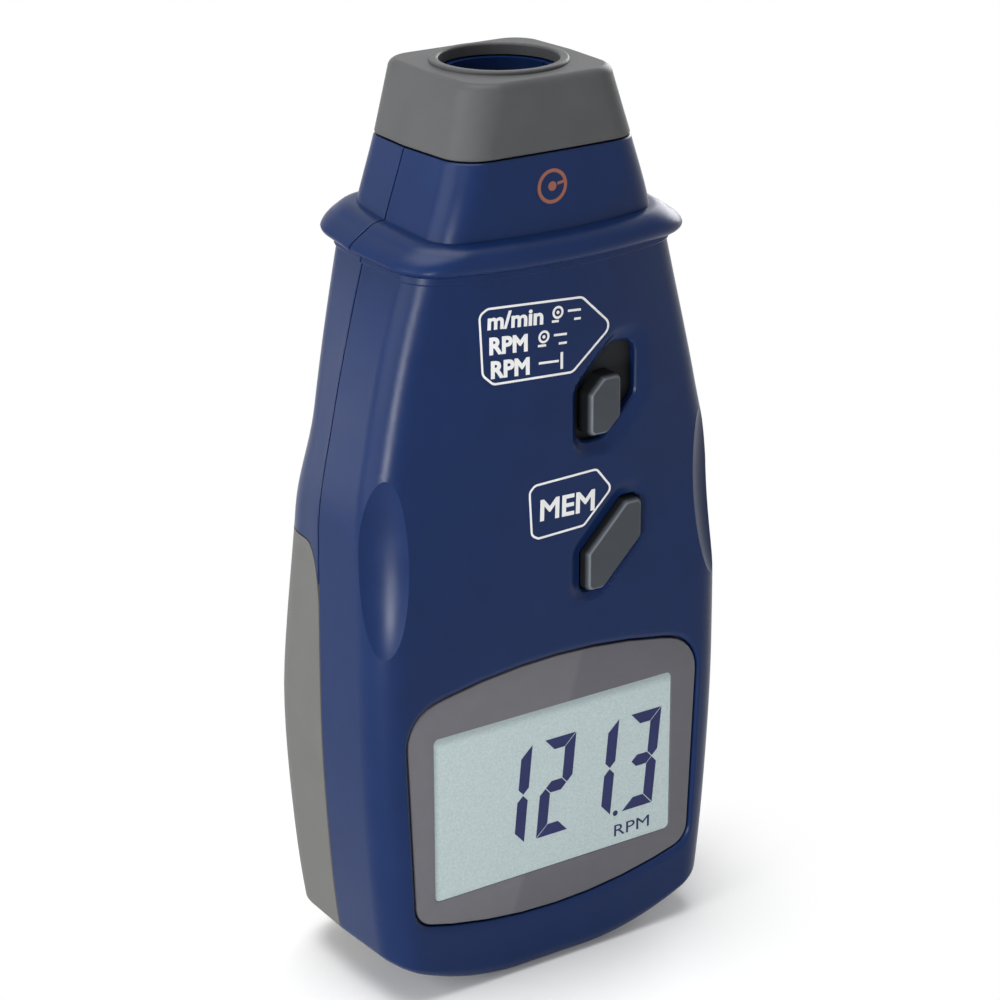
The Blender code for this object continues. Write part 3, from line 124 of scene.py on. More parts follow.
SLOT_RECESS_SHIFT = (0.0010, 0.0003)
STEM_RADIUS = 0.0015
STEM_SUNK = 0.0012
MEM_X = 0.0112
MEM_RISE = 0.0181
MEM_HALF_WIDTH = 0.00575
MEM_HALF_HEIGHT = 0.00755
MEM_BAND = 0.00520
MEM_MARGIN = 0.0023
MEM_RECESS_SHIFT = (-0.0005, 0.0008)
KEY_PROUD = 0.0010
KEY_CHAMFER = 0.0007
KEY_CORNER = 0.0011
RECESS_DEPTH = 0.0007
RECESS_CORNER = 0.0034
PAD_THICKNESS = 0.0014
PAD_WIDTH = 0.0012
FLANGE_WIDTH = 0.0010
FLANGE_THICKNESS = 0.0008
BAND_GROWTH = 1.2
BUTTON_RISE = 0.0110
BUTTON_LENGTH = 0.0160
BUTTON_WIDTH = 0.0080
BUTTON_PROUD = 0.0014
BUTTON_CORNER = 0.0030
SCOOP_LENGTH = 0.0325
SCOOP_RADIUS = 0.0105
SCOOP_DEPTH = 0.0020
SCOOP_ANGLE = math.radians(60.0)
SCOOP_HEIGHT = 0.0870
COVER_HEIGHT = 0.0815
COVER_CURVE = 0.0044
COVER_FRONT_HEIGHT = 0.0710
CELL_RADIUS = 0.00725
CELL_LENGTH = 0.0505
CELL_GAP = 0.0004
CELL_COUNT = 4
BAY_BOTTOM = 0.0100
BAY_WALL = 0.0012
SPRING_LENGTH = 0.0042
CONTACT_THICKNESS = 0.0004
BOARD_FRONT = -0.0088
SWITCH_HEIGHT = 0.0030
SCREW_RADIUS = 0.00125
SCREW_HEAD_RADIUS = 0.0025
SCREW_SEAT = 0.0098
BOSS_RADIUS = 0.0033
UPPER_SCREW_X = 0.0128
UPPER_SCREW_HEIGHT = 0.1395
LOWER_SCREW_X = 0.0130
LOWER_SCREW_HEIGHT = 0.0066
LEAST_BOW = 0.02
CORNER_LIMIT = 0.8
CORNER_STEPS = 6
CROWN_STEPS = 4
TRAY_CROWN_STEPS = 3
ROUND_STEPS = 28
SMALL_STEPS = 16
GRIP_HEIGHT = BELLY_HEIGHT + GRIP_RISE
CHEST_HEIGHT = GRIP_HEIGHT + CHEST_RISE
COLLAR_HEIGHT = CHEST_HEIGHT + COLLAR_RISE
SEAM_HEIGHT = COLLAR_HEIGHT + NECK_RISE
NOSE_HEIGHT = SEAM_HEIGHT + CAP_RISE
SPIGOT_HEIGHT = NOSE_HEIGHT - SPIGOT_DROP
MEM_HEIGHT = LENS_TOP + MEM_RISE
KNOB_HEIGHT = MEM_HEIGHT + KNOB_RISE
BUTTON_HEIGHT = COVER_HEIGHT + BUTTON_RISE
PARTING = GAP / 2
FAR = 0.08
LEAD = 0.001
WIDTH_STATIONS = (
    (0.0, FOOT_HALF_WIDTH),
    (BELLY_HEIGHT, BELLY_HALF_WIDTH),
    (GRIP_HEIGHT, GRIP_HALF_WIDTH),
    (CHEST_HEIGHT, CHEST_HALF_WIDTH),
    (COLLAR_HEIGHT, SHOULDER_HALF_WIDTH),
    (SEAM_HEIGHT, SEAM_HALF_WIDTH + NECK_STEP),
    (NOSE_HEIGHT, NOSE_HALF_WIDTH + NECK_STEP),
)
FRONT_STATIONS = (
    (0.0, FRONT_DEPTH),
    (CHEST_HEIGHT, FRONT_DEPTH),
    (COLLAR_HEIGHT, NECK_FRONT_DEPTH),
    (SEAM_HEIGHT, SEAM_FRONT_DEPTH),
    (NOSE_HEIGHT, NOSE_FRONT_DEPTH),
)
REAR_STATIONS = (
    (0.0, FOOT_REAR_DEPTH),
    (REAR_BELLY_HEIGHT, BELLY_REAR_DEPTH),
    (GRIP_HEIGHT, GRIP_REAR_DEPTH),
    (CHEST_HEIGHT, CHEST_REAR_DEPTH),
    (COLLAR_HEIGHT, NECK_REAR_DEPTH),
    (NOSE_HEIGHT, NOSE_REAR_DEPTH),
)
REAR_CORNER_STATIONS = (
    (BELLY_HEIGHT, REAR_CORNER),
    (GRIP_HEIGHT, GRIP_REAR_CORNER),
    (CHEST_HEIGHT, REAR_CORNER),
    (COLLAR_HEIGHT, NECK_REAR_CORNER),
)
CROWN_STATIONS = (
    (0.0, 0.0),
    (LENS_TOP, 0.0),
    (CHEST_HEIGHT, 0.55),
    (COLLAR_HEIGHT, 1.0),
    (SEAM_HEIGHT, 0.25),
    (NOSE_HEIGHT, 0.1),
)


# Sizes, counts and lamps of the looks alone
SCOOP_WALL = 0.0013
SEAM_ROUND = 0.00022
DISH_SPREAD = 0.0006
DISH_DEEPER = 0.0
LIP_ROUND = 0.0015
LIP_DEPTH = 0.0010
MARK_LIFT = 0.00003
MARK_SUNK = 0.00004
PANE_SUNK = 0.0002
MEASURED_FROM = Vector((-0.27166, -0.40155, 0.26815))
KEY_ZONE = (0.064, 0.121)
KEY_LEVELS = 104
CROWN_FINE = 52
OPENING = (-0.0252, 0.0249, 0.0188, 0.0496)
SEGMENTS = {"1": "bc", "2": "abged", "3": "abcdg"}
# Offset and slope of the rising line that bounds the bezel's painted reflection; KEYS_SPLIT parts the two keys.
REFLECTION_EDGE = 0.01268
KEYS_SPLIT = 0.0920
REFLECTION_EDGE_SLOPE = 0.3126
FLOOR_TONE = 0.80
WORLD_LIGHT = 0.28
LEFT_POWER = 9.0
STRIP_POWER = 1.9
TOP_POWER = 12.0
FRONT_POWER = 0.5
RIGHT_POWER = 6.0
SIDE_POWER = 0.15


def smooth_value(stations, height):
    """A value that runs through its stations without overshooting between them."""
    if height <= stations[0][0]:
        return stations[0][1]
    if height >= stations[-1][0]:
        return stations[-1][1]
    spans = [b[0] - a[0] for a, b in zip(stations, stations[1:])]
    rises = [(b[1] - a[1]) / span for a, b, span in zip(stations, stations[1:], spans)]
    slopes = [rises[0]]
    for left, right in zip(rises, rises[1:]):
        slopes.append(0.0 if left * right <= 0.0 else 2.0 * left * right / (left + right))
    slopes.append(rises[-1])
    index = max(i for i in range(len(spans)) if stations[i][0] <= height)
    t = (height - stations[index][0]) / spans[index]
    a, b = stations[index][1], stations[index + 1][1]
    pull_a, pull_b = slopes[index] * spans[index], slopes[index + 1] * spans[index]
    blend = t * t * (3.0 - 2.0 * t)
    return a + (b - a) * blend + pull_a * t * (1.0 - t) ** 2 - pull_b * t * t * (1.0 - t)


def collar_share(level):
    """How much of the collar's slope a level takes on, all of it at the bead and none further away."""
    if level > COLLAR_HEIGHT:
        reach, full = SEAM_HEIGHT - COLLAR_HEIGHT, BEAD_RADIUS
    else:
        reach, full = COLLAR_HEIGHT - CHEST_HEIGHT, 2.0 * BEAD_RADIUS
    return min(max((reach - abs(level - COLLAR_HEIGHT)) / (reach - full), 0.0), 1.0)


def base_rise(x, level):
    """How far the curved base lifts a point of the section at this level."""
    if level >= BASE_BLEND:
        return 0.0
    reach = max(abs(x) - BASE_FLAT, 0.0)
    return reach * reach / (2.0 * BASE_CURVE) * (1.0 - level / BASE_BLEND) ** 2


def half_width(level):
    """Half width of the case at the parting plane."""
    t = min(max((level - COLLAR_HEIGHT) / BEAD_RADIUS + 0.5, 0.0), 1.0)
    return smooth_value(WIDTH_STATIONS, level) - NECK_STEP * t


def front_depth(level):
    return smooth_value(FRONT_STATIONS, level)


def rear_depth(level):
    return smooth_value(REAR_STATIONS, level)


def rear_corner(level):
    return smooth_value(REAR_CORNER_STATIONS, level)


def crown_radius(level):
    """Radius, in plan, of the bowed front face."""
    return CROWN_RADIUS / max(smooth_value(CROWN_STATIONS, level), LEAST_BOW)


def front_surface(x, level):
    """Y of the case's front face at a point."""
    radius = crown_radius(level)
    return -front_depth(level) + radius - math.sqrt(radius * radius - x * x)


def quarter_section(width, depth, corner, crown, corner_steps, crown_steps):
    """Points from the parting plane round one corner to the middle of the face, depth positive."""
    corner = min(corner, width * CORNER_LIMIT, depth * CORNER_LIMIT)
    centre_x = width - SIDE_DRAFT * depth - corner
    centre_y = (depth - crown) + math.sqrt((crown - corner) ** 2 - centre_x * centre_x)
    normal = Vector((centre_x, centre_y - (depth - crown))).normalized()
    end = math.atan2(normal.y, normal.x)
    points = [(width, 0.0)]
    for i in range(corner_steps + 1):
        angle = end * i / corner_steps
        points.append((centre_x + corner * math.cos(angle), centre_y + corner * math.sin(angle)))
    edge_x = points[-1][0]
    for i in range(1, crown_steps + 1):
        x = edge_x * (1.0 - i / crown_steps)
        points.append((x, depth - crown + math.sqrt(crown * crown - x * x)))
    return points


def section(level, grow, corner_steps, crown_steps, width_limit=FAR):
    """Closed outline of the case at a level, grown outward or, when negative, shrunk inward."""
    width = min(half_width(level) + grow, width_limit)
    front = quarter_section(width, front_depth(level) + grow, max(FRONT_CORNER + grow, LEAD),
                            crown_radius(level) + grow, corner_steps, crown_steps)
    rear = quarter_section(width, rear_depth(level) + grow, max(rear_corner(level) + grow, LEAD),
                           REAR_CROWN_RADIUS + grow, corner_steps, crown_steps)
    front_half = [(x, -y) for x, y in front]
    front_half += [(-x, -y) for x, y in front[-2::-1]]
    rear_half = [(-x, y) for x, y in rear[1:]]
    rear_half += [(x, y) for x, y in rear[-2:0:-1]]
    tilt = COLLAR_TILT * collar_share(level)
    return [Vector((x, y, level + base_rise(x, level) + tilt * y)) for x, y in front_half + rear_half]


def mesh_object(name, verts, faces):
    """An object from plain vertices and faces, with its faces turned outward."""
    mesh = bpy.data.meshes.new(name)
    mesh.from_pydata([tuple(v) for v in verts], [], faces)
    work = bmesh.new()
    work.from_mesh(mesh)
    bmesh.ops.connect_verts_nonplanar(work, angle_limit=0.0001, faces=work.faces)
    bmesh.ops.recalc_face_normals(work, faces=work.faces)
    if work.calc_volume(signed=True) < 0.0:
        bmesh.ops.reverse_faces(work, faces=work.faces)
    work.to_mesh(mesh)
    work.free()
    item = bpy.data.objects.new(name, mesh)
    bpy.context.collection.objects.link(item)
    return item


def loft(name, rings, strip_caps=False):
    """A closed solid through rings of equal length, its ends capped flat or with cross strips."""
    count = len(rings[0])
    verts = [point for ring in rings for point in ring]
    faces = []
    for r in range(len(rings) - 1):
        for i in range(count):
            j = (i + 1) % count
            faces.append((r * count + i, r * count + j, (r + 1) * count + j, (r + 1) * count + i))
    last = (len(rings) - 1) * count
    for start in (0, last):
        if strip_caps:
            faces += cap_strips(start, count)
        else:
            faces.append(tuple(range(start, start + count)))
    return mesh_object(name, verts, faces)


def cap_strips(start, count):
    """Faces that join the front half of a section's outline to the rear half behind it."""
    faces = []
    half = count // 2
    for i in range(half):
        behind, next_behind = (count - i) % count, (count - i - 1) % count
        corners = [start + i, start + i + 1, start + next_behind, start + behind]
        faces.append(tuple(dict.fromkeys(corners)))
    return faces


def envelope(name, levels, corner_steps=CORNER_STEPS, crown_steps=CROWN_STEPS, width_limit=FAR):
    """The case's outer form through a list of level and growth pairs."""
    rings = [section(level, grow, corner_steps, crown_steps, width_limit) for level, grow in levels]
    return loft(name, rings, strip_caps=True)


def coarse_envelope(name, levels, width_limit=FAR):
    return envelope(name, levels, corner_steps=3, crown_steps=2, width_limit=width_limit)


def boolean(target, tool, operation):
    """Applies one exact boolean and removes the tool."""
    step = target.modifiers.new(operation, "BOOLEAN")
    step.operation = operation
    step.solver = "EXACT"
    step.object = tool
    graph = bpy.context.evaluated_depsgraph_get()
    result = bpy.data.meshes.new_from_object(target.evaluated_get(graph))
    target.modifiers.remove(step)
    old = target.data
    target.data = result
    bpy.data.meshes.remove(old)
    bpy.data.objects.remove(tool)
    return target


def cut(target, *tools):
    for tool in tools:
        boolean(target, tool, "DIFFERENCE")
    return target


def join(target, *tools):
    for tool in tools:
        boolean(target, tool, "UNION")
    return target


def keep(target, tool):
    return boolean(target, tool, "INTERSECT")


def box(name, low, high):
    """A box between two corners."""
    (x0, y0, z0), (x1, y1, z1) = low, high
    verts = [(x, y, z) for z in (z0, z1) for y in (y0, y1) for x in (x0, x1)]
    faces = [(0, 2, 3, 1), (4, 5, 7, 6), (0, 1, 5, 4), (2, 6, 7, 3), (0, 4, 6, 2), (1, 3, 7, 5)]
    return mesh_object(name, verts, faces)


def circle_points(radius, steps):
    angles = [2.0 * math.pi * (i + 0.5) / steps for i in range(steps)]
    return [(radius * math.cos(angle), radius * math.sin(angle)) for angle in angles]


def turned(name, profile, steps=ROUND_STEPS, centre=(0.0, 0.0, 0.0), axis="Z"):
    """A turned piece from radius and height pairs, along an axis through the centre."""
    rings = [[Vector((x, y, height)) for x, y in circle_points(radius, steps)]
             for radius, height in profile]
    item = loft(name, rings)
    turn = {"Z": Matrix.Identity(4), "X": Matrix.Rotation(math.pi / 2, 4, "Y"),
            "Y": Matrix.Rotation(-math.pi / 2, 4, "X")}[axis]
    item.data.transform(Matrix.Translation(centre) @ turn)
    return item


def rod(name, radius, start, end, centre, axis="Z", steps=SMALL_STEPS):
    """A plain cylinder between two distances along an axis."""
    return turned(name, ((radius, start), (radius, end)), steps, centre, axis)


def rounded_outline(corners, radius, steps=3):
    """A polygon with each corner replaced by an arc."""
    points = []
    count = len(corners)
    for i in range(count):
        here = Vector(corners[i])
        before = (Vector(corners[i - 1]) - here)
        after = (Vector(corners[(i + 1) % count]) - here)
        half = before.angle(after) / 2.0
        reach = min(radius / math.tan(half), before.length * 0.45, after.length * 0.45)
        arc = reach * math.tan(half)
        centre = here + (before.normalized() + after.normalized()).normalized() * (arc / math.sin(half))
        start = here + before.normalized() * reach - centre
        end = here + after.normalized() * reach - centre
        sweep = start.angle_signed(end)
        for k in range(steps + 1):
            points.append(centre + Matrix.Rotation(-sweep * k / steps, 2) @ start)
    return points


def slanted_outline(half_wide, half_high, band, corner, steps=3):
    """The keys' outline: a rounded box that keeps only a band along its rising diagonal."""
    corners = [
        (-half_wide, -half_high),
        (band - half_high, -half_high),
        (half_wide, half_wide - band),
        (half_wide, half_high),
        (half_high - band, half_high),
        (-half_wide, band - half_wide),
    ]
    return rounded_outline(corners, corner, steps)


def prism(name, stages, centre=(0.0, 0.0)):
    """A solid along Y through outlines in X and Z, each given with its Y."""
    rings = []
    for outline, y in stages:
        rings.append([Vector((centre[0] + p[0], y, centre[1] + p[1])) for p in outline])
    return loft(name, rings)


def lens_outline(grow=0.0):
    """The display window's outline: arched top and bottom, sides that taper down."""
    half = LENS_HALF_WIDTH + grow
    foot = LENS_FOOT_HALF_WIDTH + grow
    top, bottom = LENS_TOP + grow, LENS_BOTTOM - grow
    arch_steps = 8
    upper, lower = [], []
    for i in range(arch_steps + 1):
        t = 2.0 * i / arch_steps - 1.0
        lower.append((t * foot, bottom + LENS_BOTTOM_ARCH * t * t))
        upper.append((-t * half, top - LENS_TOP_ARCH * t * t))
    outline = lower + upper
    sharp = {0: True, arch_steps: True, arch_steps + 1: True, 2 * arch_steps + 1: True}
    points = []
    for i, here in enumerate(outline):
        if i not in sharp:
            points.append(Vector(here))
            continue
        corner = (LENS_CORNER if i <= arch_steps else LENS_TOP_CORNER) + grow
        before = Vector(outline[i - 1]) - Vector(here)
        after = Vector(outline[(i + 1) % len(outline)]) - Vector(here)
        half_angle = before.angle(after) / 2.0
        reach = corner / math.tan(half_angle)
        middle = Vector(here) + (before.normalized() + after.normalized()).normalized() * (
            corner / math.sin(half_angle))
        start = Vector(here) + before.normalized() * reach - middle
        end = Vector(here) + after.normalized() * reach - middle
        sweep = start.angle_signed(end)
        for k in range(CORNER_STEPS + 1):
            points.append(middle + Matrix.Rotation(-sweep * k / CORNER_STEPS, 2) @ start)
    return points


def edge_levels(start, radius, grow=0.0, steps=4):
    """Levels that round the bottom edge of an envelope that starts at this level."""
    levels = []
    for i in range(steps + 1):
        angle = math.pi / 2.0 * i / steps
        levels.append((start + radius * (1.0 - math.cos(angle)), grow - radius * (1.0 - math.sin(angle))))
    return levels


def spread(start, end, count):
    """Evenly spaced levels, both ends left out."""
    return [start + (end - start) * i / (count + 1) for i in range(1, count + 1)]


def cavity_levels(wall_low):
    """Levels of the room inside the shells, with a thicker wall beside the battery bay."""
    step_height = COVER_HEIGHT + WALL
    levels = edge_levels(wall_low, BASE_EDGE, -wall_low, steps=1)
    levels += [(BASE_BLEND, -wall_low), (BELLY_HEIGHT, -wall_low), (step_height, -wall_low)]
    levels += [(step_height + wall_low - WALL, -WALL)] if wall_low > WALL else []
    levels += [(level, -WALL) for level in spread(step_height + wall_low, COLLAR_HEIGHT, 2)]
    inset = -(CAP_WALL + GAP + SPIGOT_WALL)
    levels += [(COLLAR_HEIGHT, -WALL), (SEAM_HEIGHT - WALL, -WALL), (SEAM_HEIGHT - WALL, inset)]
    levels += [(SPIGOT_HEIGHT - SPIGOT_PLATE, inset)]
    return levels


def slide_shift():
    """The mode knob's whole travel as a step in X and Z."""
    return SLIDE_TRAVEL * math.sin(SLIDE_ANGLE), SLIDE_TRAVEL * math.cos(SLIDE_ANGLE)


def knob_outline(grow=0.0, travels=0.0, corner=KEY_CORNER):
    """Outline of the mode knob, stretched by a number of travels along its slide."""
    shift_x, shift_z = slide_shift()
    return slanted_outline(KNOB_HALF_WIDTH + grow + travels * shift_x / 2.0,
                           KNOB_HALF_HEIGHT + grow + travels * shift_z / 2.0,
                           KNOB_BAND + grow * BAND_GROWTH + travels * (shift_z - shift_x) / 2.0, corner)


def mem_outline(grow=0.0, corner=KEY_CORNER):
    return slanted_outline(MEM_HALF_WIDTH + grow, MEM_HALF_HEIGHT + grow,
                           MEM_BAND + grow * BAND_GROWTH, corner)


def slot_centre():
    shift_x, shift_z = slide_shift()
    return KNOB_X + shift_x / 2.0, KNOB_HEIGHT + shift_z / 2.0


def mem_centre():
    return MEM_X, MEM_HEIGHT


def recess_floor(centre, outer_x):
    """Y of a key recess's flat floor, set by the shallower outer side of the recess."""
    return front_surface(centre[0] + outer_x, centre[1]) + RECESS_DEPTH


def slot_floor():
    shift_x, _ = slide_shift()
    return recess_floor(slot_centre(), KNOB_HALF_WIDTH + shift_x / 2.0 + SLOT_CLEARANCE)


def mem_floor():
    return recess_floor(mem_centre(), MEM_HALF_WIDTH + MEM_MARGIN)


def lens_levels():
    """Y of the display window's face, its back and the pocket floor behind it."""
    face = -FRONT_DEPTH + LENS_SUNK
    back = face + LENS_THICKNESS
    return face, back, back + GAP


def screw_places():
    """X and height of the four case screws."""
    return [(side * x, height) for x, height in
            ((UPPER_SCREW_X, UPPER_SCREW_HEIGHT), (LOWER_SCREW_X, LOWER_SCREW_HEIGHT)) for side in (-1, 1)]


def button_face(z, proud):
    """X of the measuring button's sloping outer face at a height."""
    half = BUTTON_LENGTH / 2.0
    low, high = half_width(BUTTON_HEIGHT - half), half_width(BUTTON_HEIGHT + half)
    return half_width(BUTTON_HEIGHT) + proud - (low - high) / BUTTON_LENGTH * (z - BUTTON_HEIGHT)


def button_outline(grow, corner=BUTTON_CORNER):
    half_y, half_z = BUTTON_WIDTH / 2.0 + grow, BUTTON_LENGTH / 2.0 + grow
    return rounded_outline([(-half_y, -half_z), (half_y, -half_z), (half_y, half_z), (-half_y, half_z)],
                           corner + grow, CORNER_STEPS - 2)


def side_prism(name, stages):
    """A solid along X through outlines in Y and Z, each with a function that gives its X."""
    rings = []
    for outline, place in stages:
        rings.append([Vector((place(BUTTON_HEIGHT + p[1]), p[0], BUTTON_HEIGHT + p[1])) for p in outline])
    return loft(name, rings)


def button_hole(name):
    outline = button_outline(KEY_CLEARANCE)
    inner = half_width(BUTTON_HEIGHT) - 4 * WALL
    return side_prism(name, [(outline, lambda z: inner), (outline, lambda z: FAR)])


def spigot_bore(name):
    low = SPIGOT_HEIGHT - 2 * SPIGOT_PLATE
    return rod(name, SPIGOT_BORE_RADIUS, low, NOSE_HEIGHT + WALL, (0, 0, 0), steps=ROUND_STEPS)


def cover_zone(name, grow):
    """Everything behind the parting plane and below the cover's top edge, as seen from the side."""
    top = COVER_HEIGHT + grow
    start = COVER_FRONT_HEIGHT + grow
    points = [(PARTING - grow, -FAR), (PARTING - grow, start)]
    for i in range(1, CORNER_STEPS + 1):
        angle = math.pi / 2.0 * i / CORNER_STEPS
        points.append((PARTING - grow + COVER_CURVE * (1.0 - math.cos(angle)),
                       start + (top - start) * math.sin(angle)))
    points += [(FAR, top), (FAR, -FAR)]
    rings = [[Vector((x, y, z)) for y, z in points] for x in (-FAR, FAR)]
    return loft(name, rings)


def tray_limit():
    """Half width that the tray keeps, so that the cover slides over it."""
    return half_width(COVER_HEIGHT) - COVER_WALL - 2 * GAP


def bay_half_width():
    return (CELL_COUNT * 2 * CELL_RADIUS + (CELL_COUNT + 1) * CELL_GAP) / 2.0


def bay_top():
    return BAY_BOTTOM + CELL_LENGTH + SPRING_LENGTH + 2 * CONTACT_THICKNESS + 5 * GAP


def bay_floor():
    """Y of the bay's floor, which the cells lie on."""
    return 2 * PARTING + BAY_WALL


def bay_box(name, wall):
    half = bay_half_width() + wall
    return box(name, (-half, bay_floor() - wall, BAY_BOTTOM - wall), (half, FAR, bay_top() + wall))


def key_levels(floor):
    """Y of the front and the back of a key's flange, behind the pad."""
    flange_front = floor + PAD_THICKNESS + GAP
    return flange_front, flange_front + FLANGE_THICKNESS


# Fineness and small roundings of the shown pieces


def shown_levels():
    """Levels of the case's outside with fine steps where the keys are."""
    ledge_bottom = COLLAR_HEIGHT - BEAD_RADIUS - BEAD_LEDGE_HEIGHT
    levels = edge_levels(0.0, BASE_EDGE, steps=8)
    levels += [(level, 0.0) for level in spread(BASE_EDGE, BASE_BLEND, 12) + [BASE_BLEND]]
    levels += [(level, 0.0) for level in spread(BASE_BLEND, KEY_ZONE[0], 26) + [KEY_ZONE[0]]]
    levels += [(level, 0.0) for level in spread(KEY_ZONE[0], KEY_ZONE[1], KEY_LEVELS) + [KEY_ZONE[1]]]
    levels += [(level, 0.0) for level in spread(KEY_ZONE[1], ledge_bottom, 8)]
    levels += [(ledge_bottom, 0.0), (ledge_bottom + 0.00015, 0.6 * BEAD_LEDGE),
               (ledge_bottom + 0.0004, BEAD_LEDGE), (COLLAR_HEIGHT - BEAD_RADIUS - 0.0002, BEAD_LEDGE)]
    steps = 20
    for i in range(steps + 1):
        angle = math.pi * (i / steps - 0.5)
        grow = BEAD_RADIUS * math.cos(angle) + BEAD_OUT * math.sqrt(max(math.cos(angle), 0.0))
        levels.append((COLLAR_HEIGHT + BEAD_RADIUS * math.sin(angle), max(grow, 0.0)))
    levels += [(level, 0.0) for level in spread(COLLAR_HEIGHT + BEAD_RADIUS, SEAM_HEIGHT, 10)]
    inset = -(CAP_WALL + GAP)
    levels += [(SEAM_HEIGHT - 0.0002, 0.0), (SEAM_HEIGHT, -0.0002), (SEAM_HEIGHT + 0.00002, inset),
               (SPIGOT_HEIGHT - 0.0003, inset), (SPIGOT_HEIGHT, inset - 0.0003)]
    return levels


def half_ring(level, grow, front, corner_steps, crown_steps, side_steps):
    """One level of a case half: the rounded outside, then straight back along the parting plane."""
    width = half_width(level) + grow
    if front:
        points = quarter_section(width, front_depth(level) + grow, max(FRONT_CORNER + grow, LEAD),
                                 crown_radius(level) + grow, corner_steps, crown_steps)
    else:
        points = quarter_section(width, rear_depth(level) + grow, max(rear_corner(level) + grow, LEAD),
                                 REAR_CROWN_RADIUS + grow, corner_steps, crown_steps)
    edge = []
    for i in range(4):
        angle = math.pi / 2.0 * i / 3
        y = PARTING + SEAM_ROUND * (1.0 - math.cos(angle))
        edge.append((width - SIDE_DRAFT * y - SEAM_ROUND * (1.0 - math.sin(angle)), y))
    x0, y0 = edge[-1]
    x1, y1 = points[1]
    side = [(x0 + (x1 - x0) * i / (side_steps + 1), y0 + (y1 - y0) * i / (side_steps + 1))
            for i in range(1, side_steps + 1)]
    quarter = edge + side + points[1:]
    flat = [quarter[0][0]]
    for x, _ in quarter[1:]:
        flat.append(min(x, flat[-1] - 0.00001))
    flat[-1] = 0.0
    sign = -1.0 if front else 1.0
    outer = [(x, sign * y) for x, y in quarter] + [(-x, sign * y) for x, y in quarter[-2::-1]]
    inner = [(-x, sign * PARTING) for x in flat[1:]] + [(x, sign * PARTING) for x in flat[-2:0:-1]]
    tilt = COLLAR_TILT * collar_share(level)
    return [Vector((x, y, level + base_rise(x, level) + tilt * y)) for x, y in outer + inner]


def half_case(name, levels, front, corner_steps, crown_steps, side_steps, shape=None):
    """A closed half of the case; shape moves the outside points, given and returned as an array."""
    rings = [half_ring(level, grow, front, corner_steps, crown_steps, side_steps) for level, grow in levels]
    if shape:
        outer = len(rings[0]) // 2 + 1
        points = np.array([[tuple(p) for p in ring[:outer]] for ring in rings])
        moved = shape(points.reshape(-1, 3)).reshape(points.shape)
        for ring, line in zip(rings, moved):
            for i, place in enumerate(line):
                ring[i] = Vector(place)
    return loft(name, rings, strip_caps=True)


def outline_distance(outline, x, z):
    """Distance of points from a closed outline, negative inside it."""
    count = len(outline)
    best = np.full(x.shape, 1e9)
    inside = np.zeros(x.shape, bool)
    for i in range(count):
        ax, az = outline[i]
        bx, bz = outline[(i + 1) % count]
        ex, ez = bx - ax, bz - az
        length = ex * ex + ez * ez
        if length < 1e-18:
            continue
        t = np.clip(((x - ax) * ex + (z - az) * ez) / length, 0.0, 1.0)
        best = np.minimum(best, np.hypot(x - ax - t * ex, z - az - t * ez))
        crosses = (az > z) != (bz > z)
        at = ax + (z - az) * ex / (ez if abs(ez) > 1e-12 else 1e-12)
        inside ^= crosses & (x < at)
    return np.where(inside, -best, best)


def placed(outline, centre):
    return [(p[0] + centre[0], p[1] + centre[1]) for p in outline]


def sink_dish(points, inner, outer, floor):
    """Sinks the face smoothly from the outer outline down to the floor at the inner one."""
    x, y, z = points[:, 0], points[:, 1], points[:, 2]
    inside = outline_distance(inner, x, z)
    outside = outline_distance(outer, x, z)
    near = (outside < 0.0) & (y < -0.008)
    share = np.where(near, np.clip(-outside / np.maximum(-outside + np.maximum(inside, 0.0), 1e-9), 0, 1),
                     0.0)
    smooth = share * share * (3.0 - 2.0 * share)
    points[:, 1] = y + np.where(near, (floor - y) * smooth, 0.0)
    return points


def scoop_frame(side):
    """Centre and half length of the hollow for a finger on one front edge."""
    edge = FRONT_CORNER * (1.0 - math.sqrt(0.5))
    reach = SCOOP_RADIUS - SCOOP_DEPTH
    centre_x = side * (half_width(SCOOP_HEIGHT) - SIDE_DRAFT * FRONT_DEPTH - edge
                       + reach * math.cos(SCOOP_ANGLE))
    centre_y = (front_surface(half_width(SCOOP_HEIGHT) - FRONT_CORNER, SCOOP_HEIGHT) + edge
                - reach * math.sin(SCOOP_ANGLE))
    ratio = reach / SCOOP_RADIUS
    return centre_x, centre_y, SCOOP_LENGTH / 2.0 / math.sqrt(1.0 - ratio * ratio)


def scoop_guard(side):
    """What the room inside leaves free behind a scoop, so that the wall isn't broken through."""
    centre_x, centre_y, half_length = scoop_frame(side)
    steps = 24
    profile = []
    for i in range(1, steps):
        angle = math.pi * (i / steps - 0.5)
        profile.append(((SCOOP_RADIUS + SCOOP_WALL) * math.cos(angle), (half_length + SCOOP_WALL) * math.sin(angle)))
    return turned("guard", profile, 40, (centre_x, centre_y, SCOOP_HEIGHT))


def scoop_tool(side):
    """The hollow for a finger in one front edge."""
    centre_x, centre_y, half_length = scoop_frame(side)
    steps = 48
    profile = []
    for i in range(1, steps):
        angle = math.pi * (i / steps - 0.5)
        profile.append((SCOOP_RADIUS * math.cos(angle), half_length * math.sin(angle)))
    return turned("scoop", profile, 120, (centre_x, centre_y, SCOOP_HEIGHT))


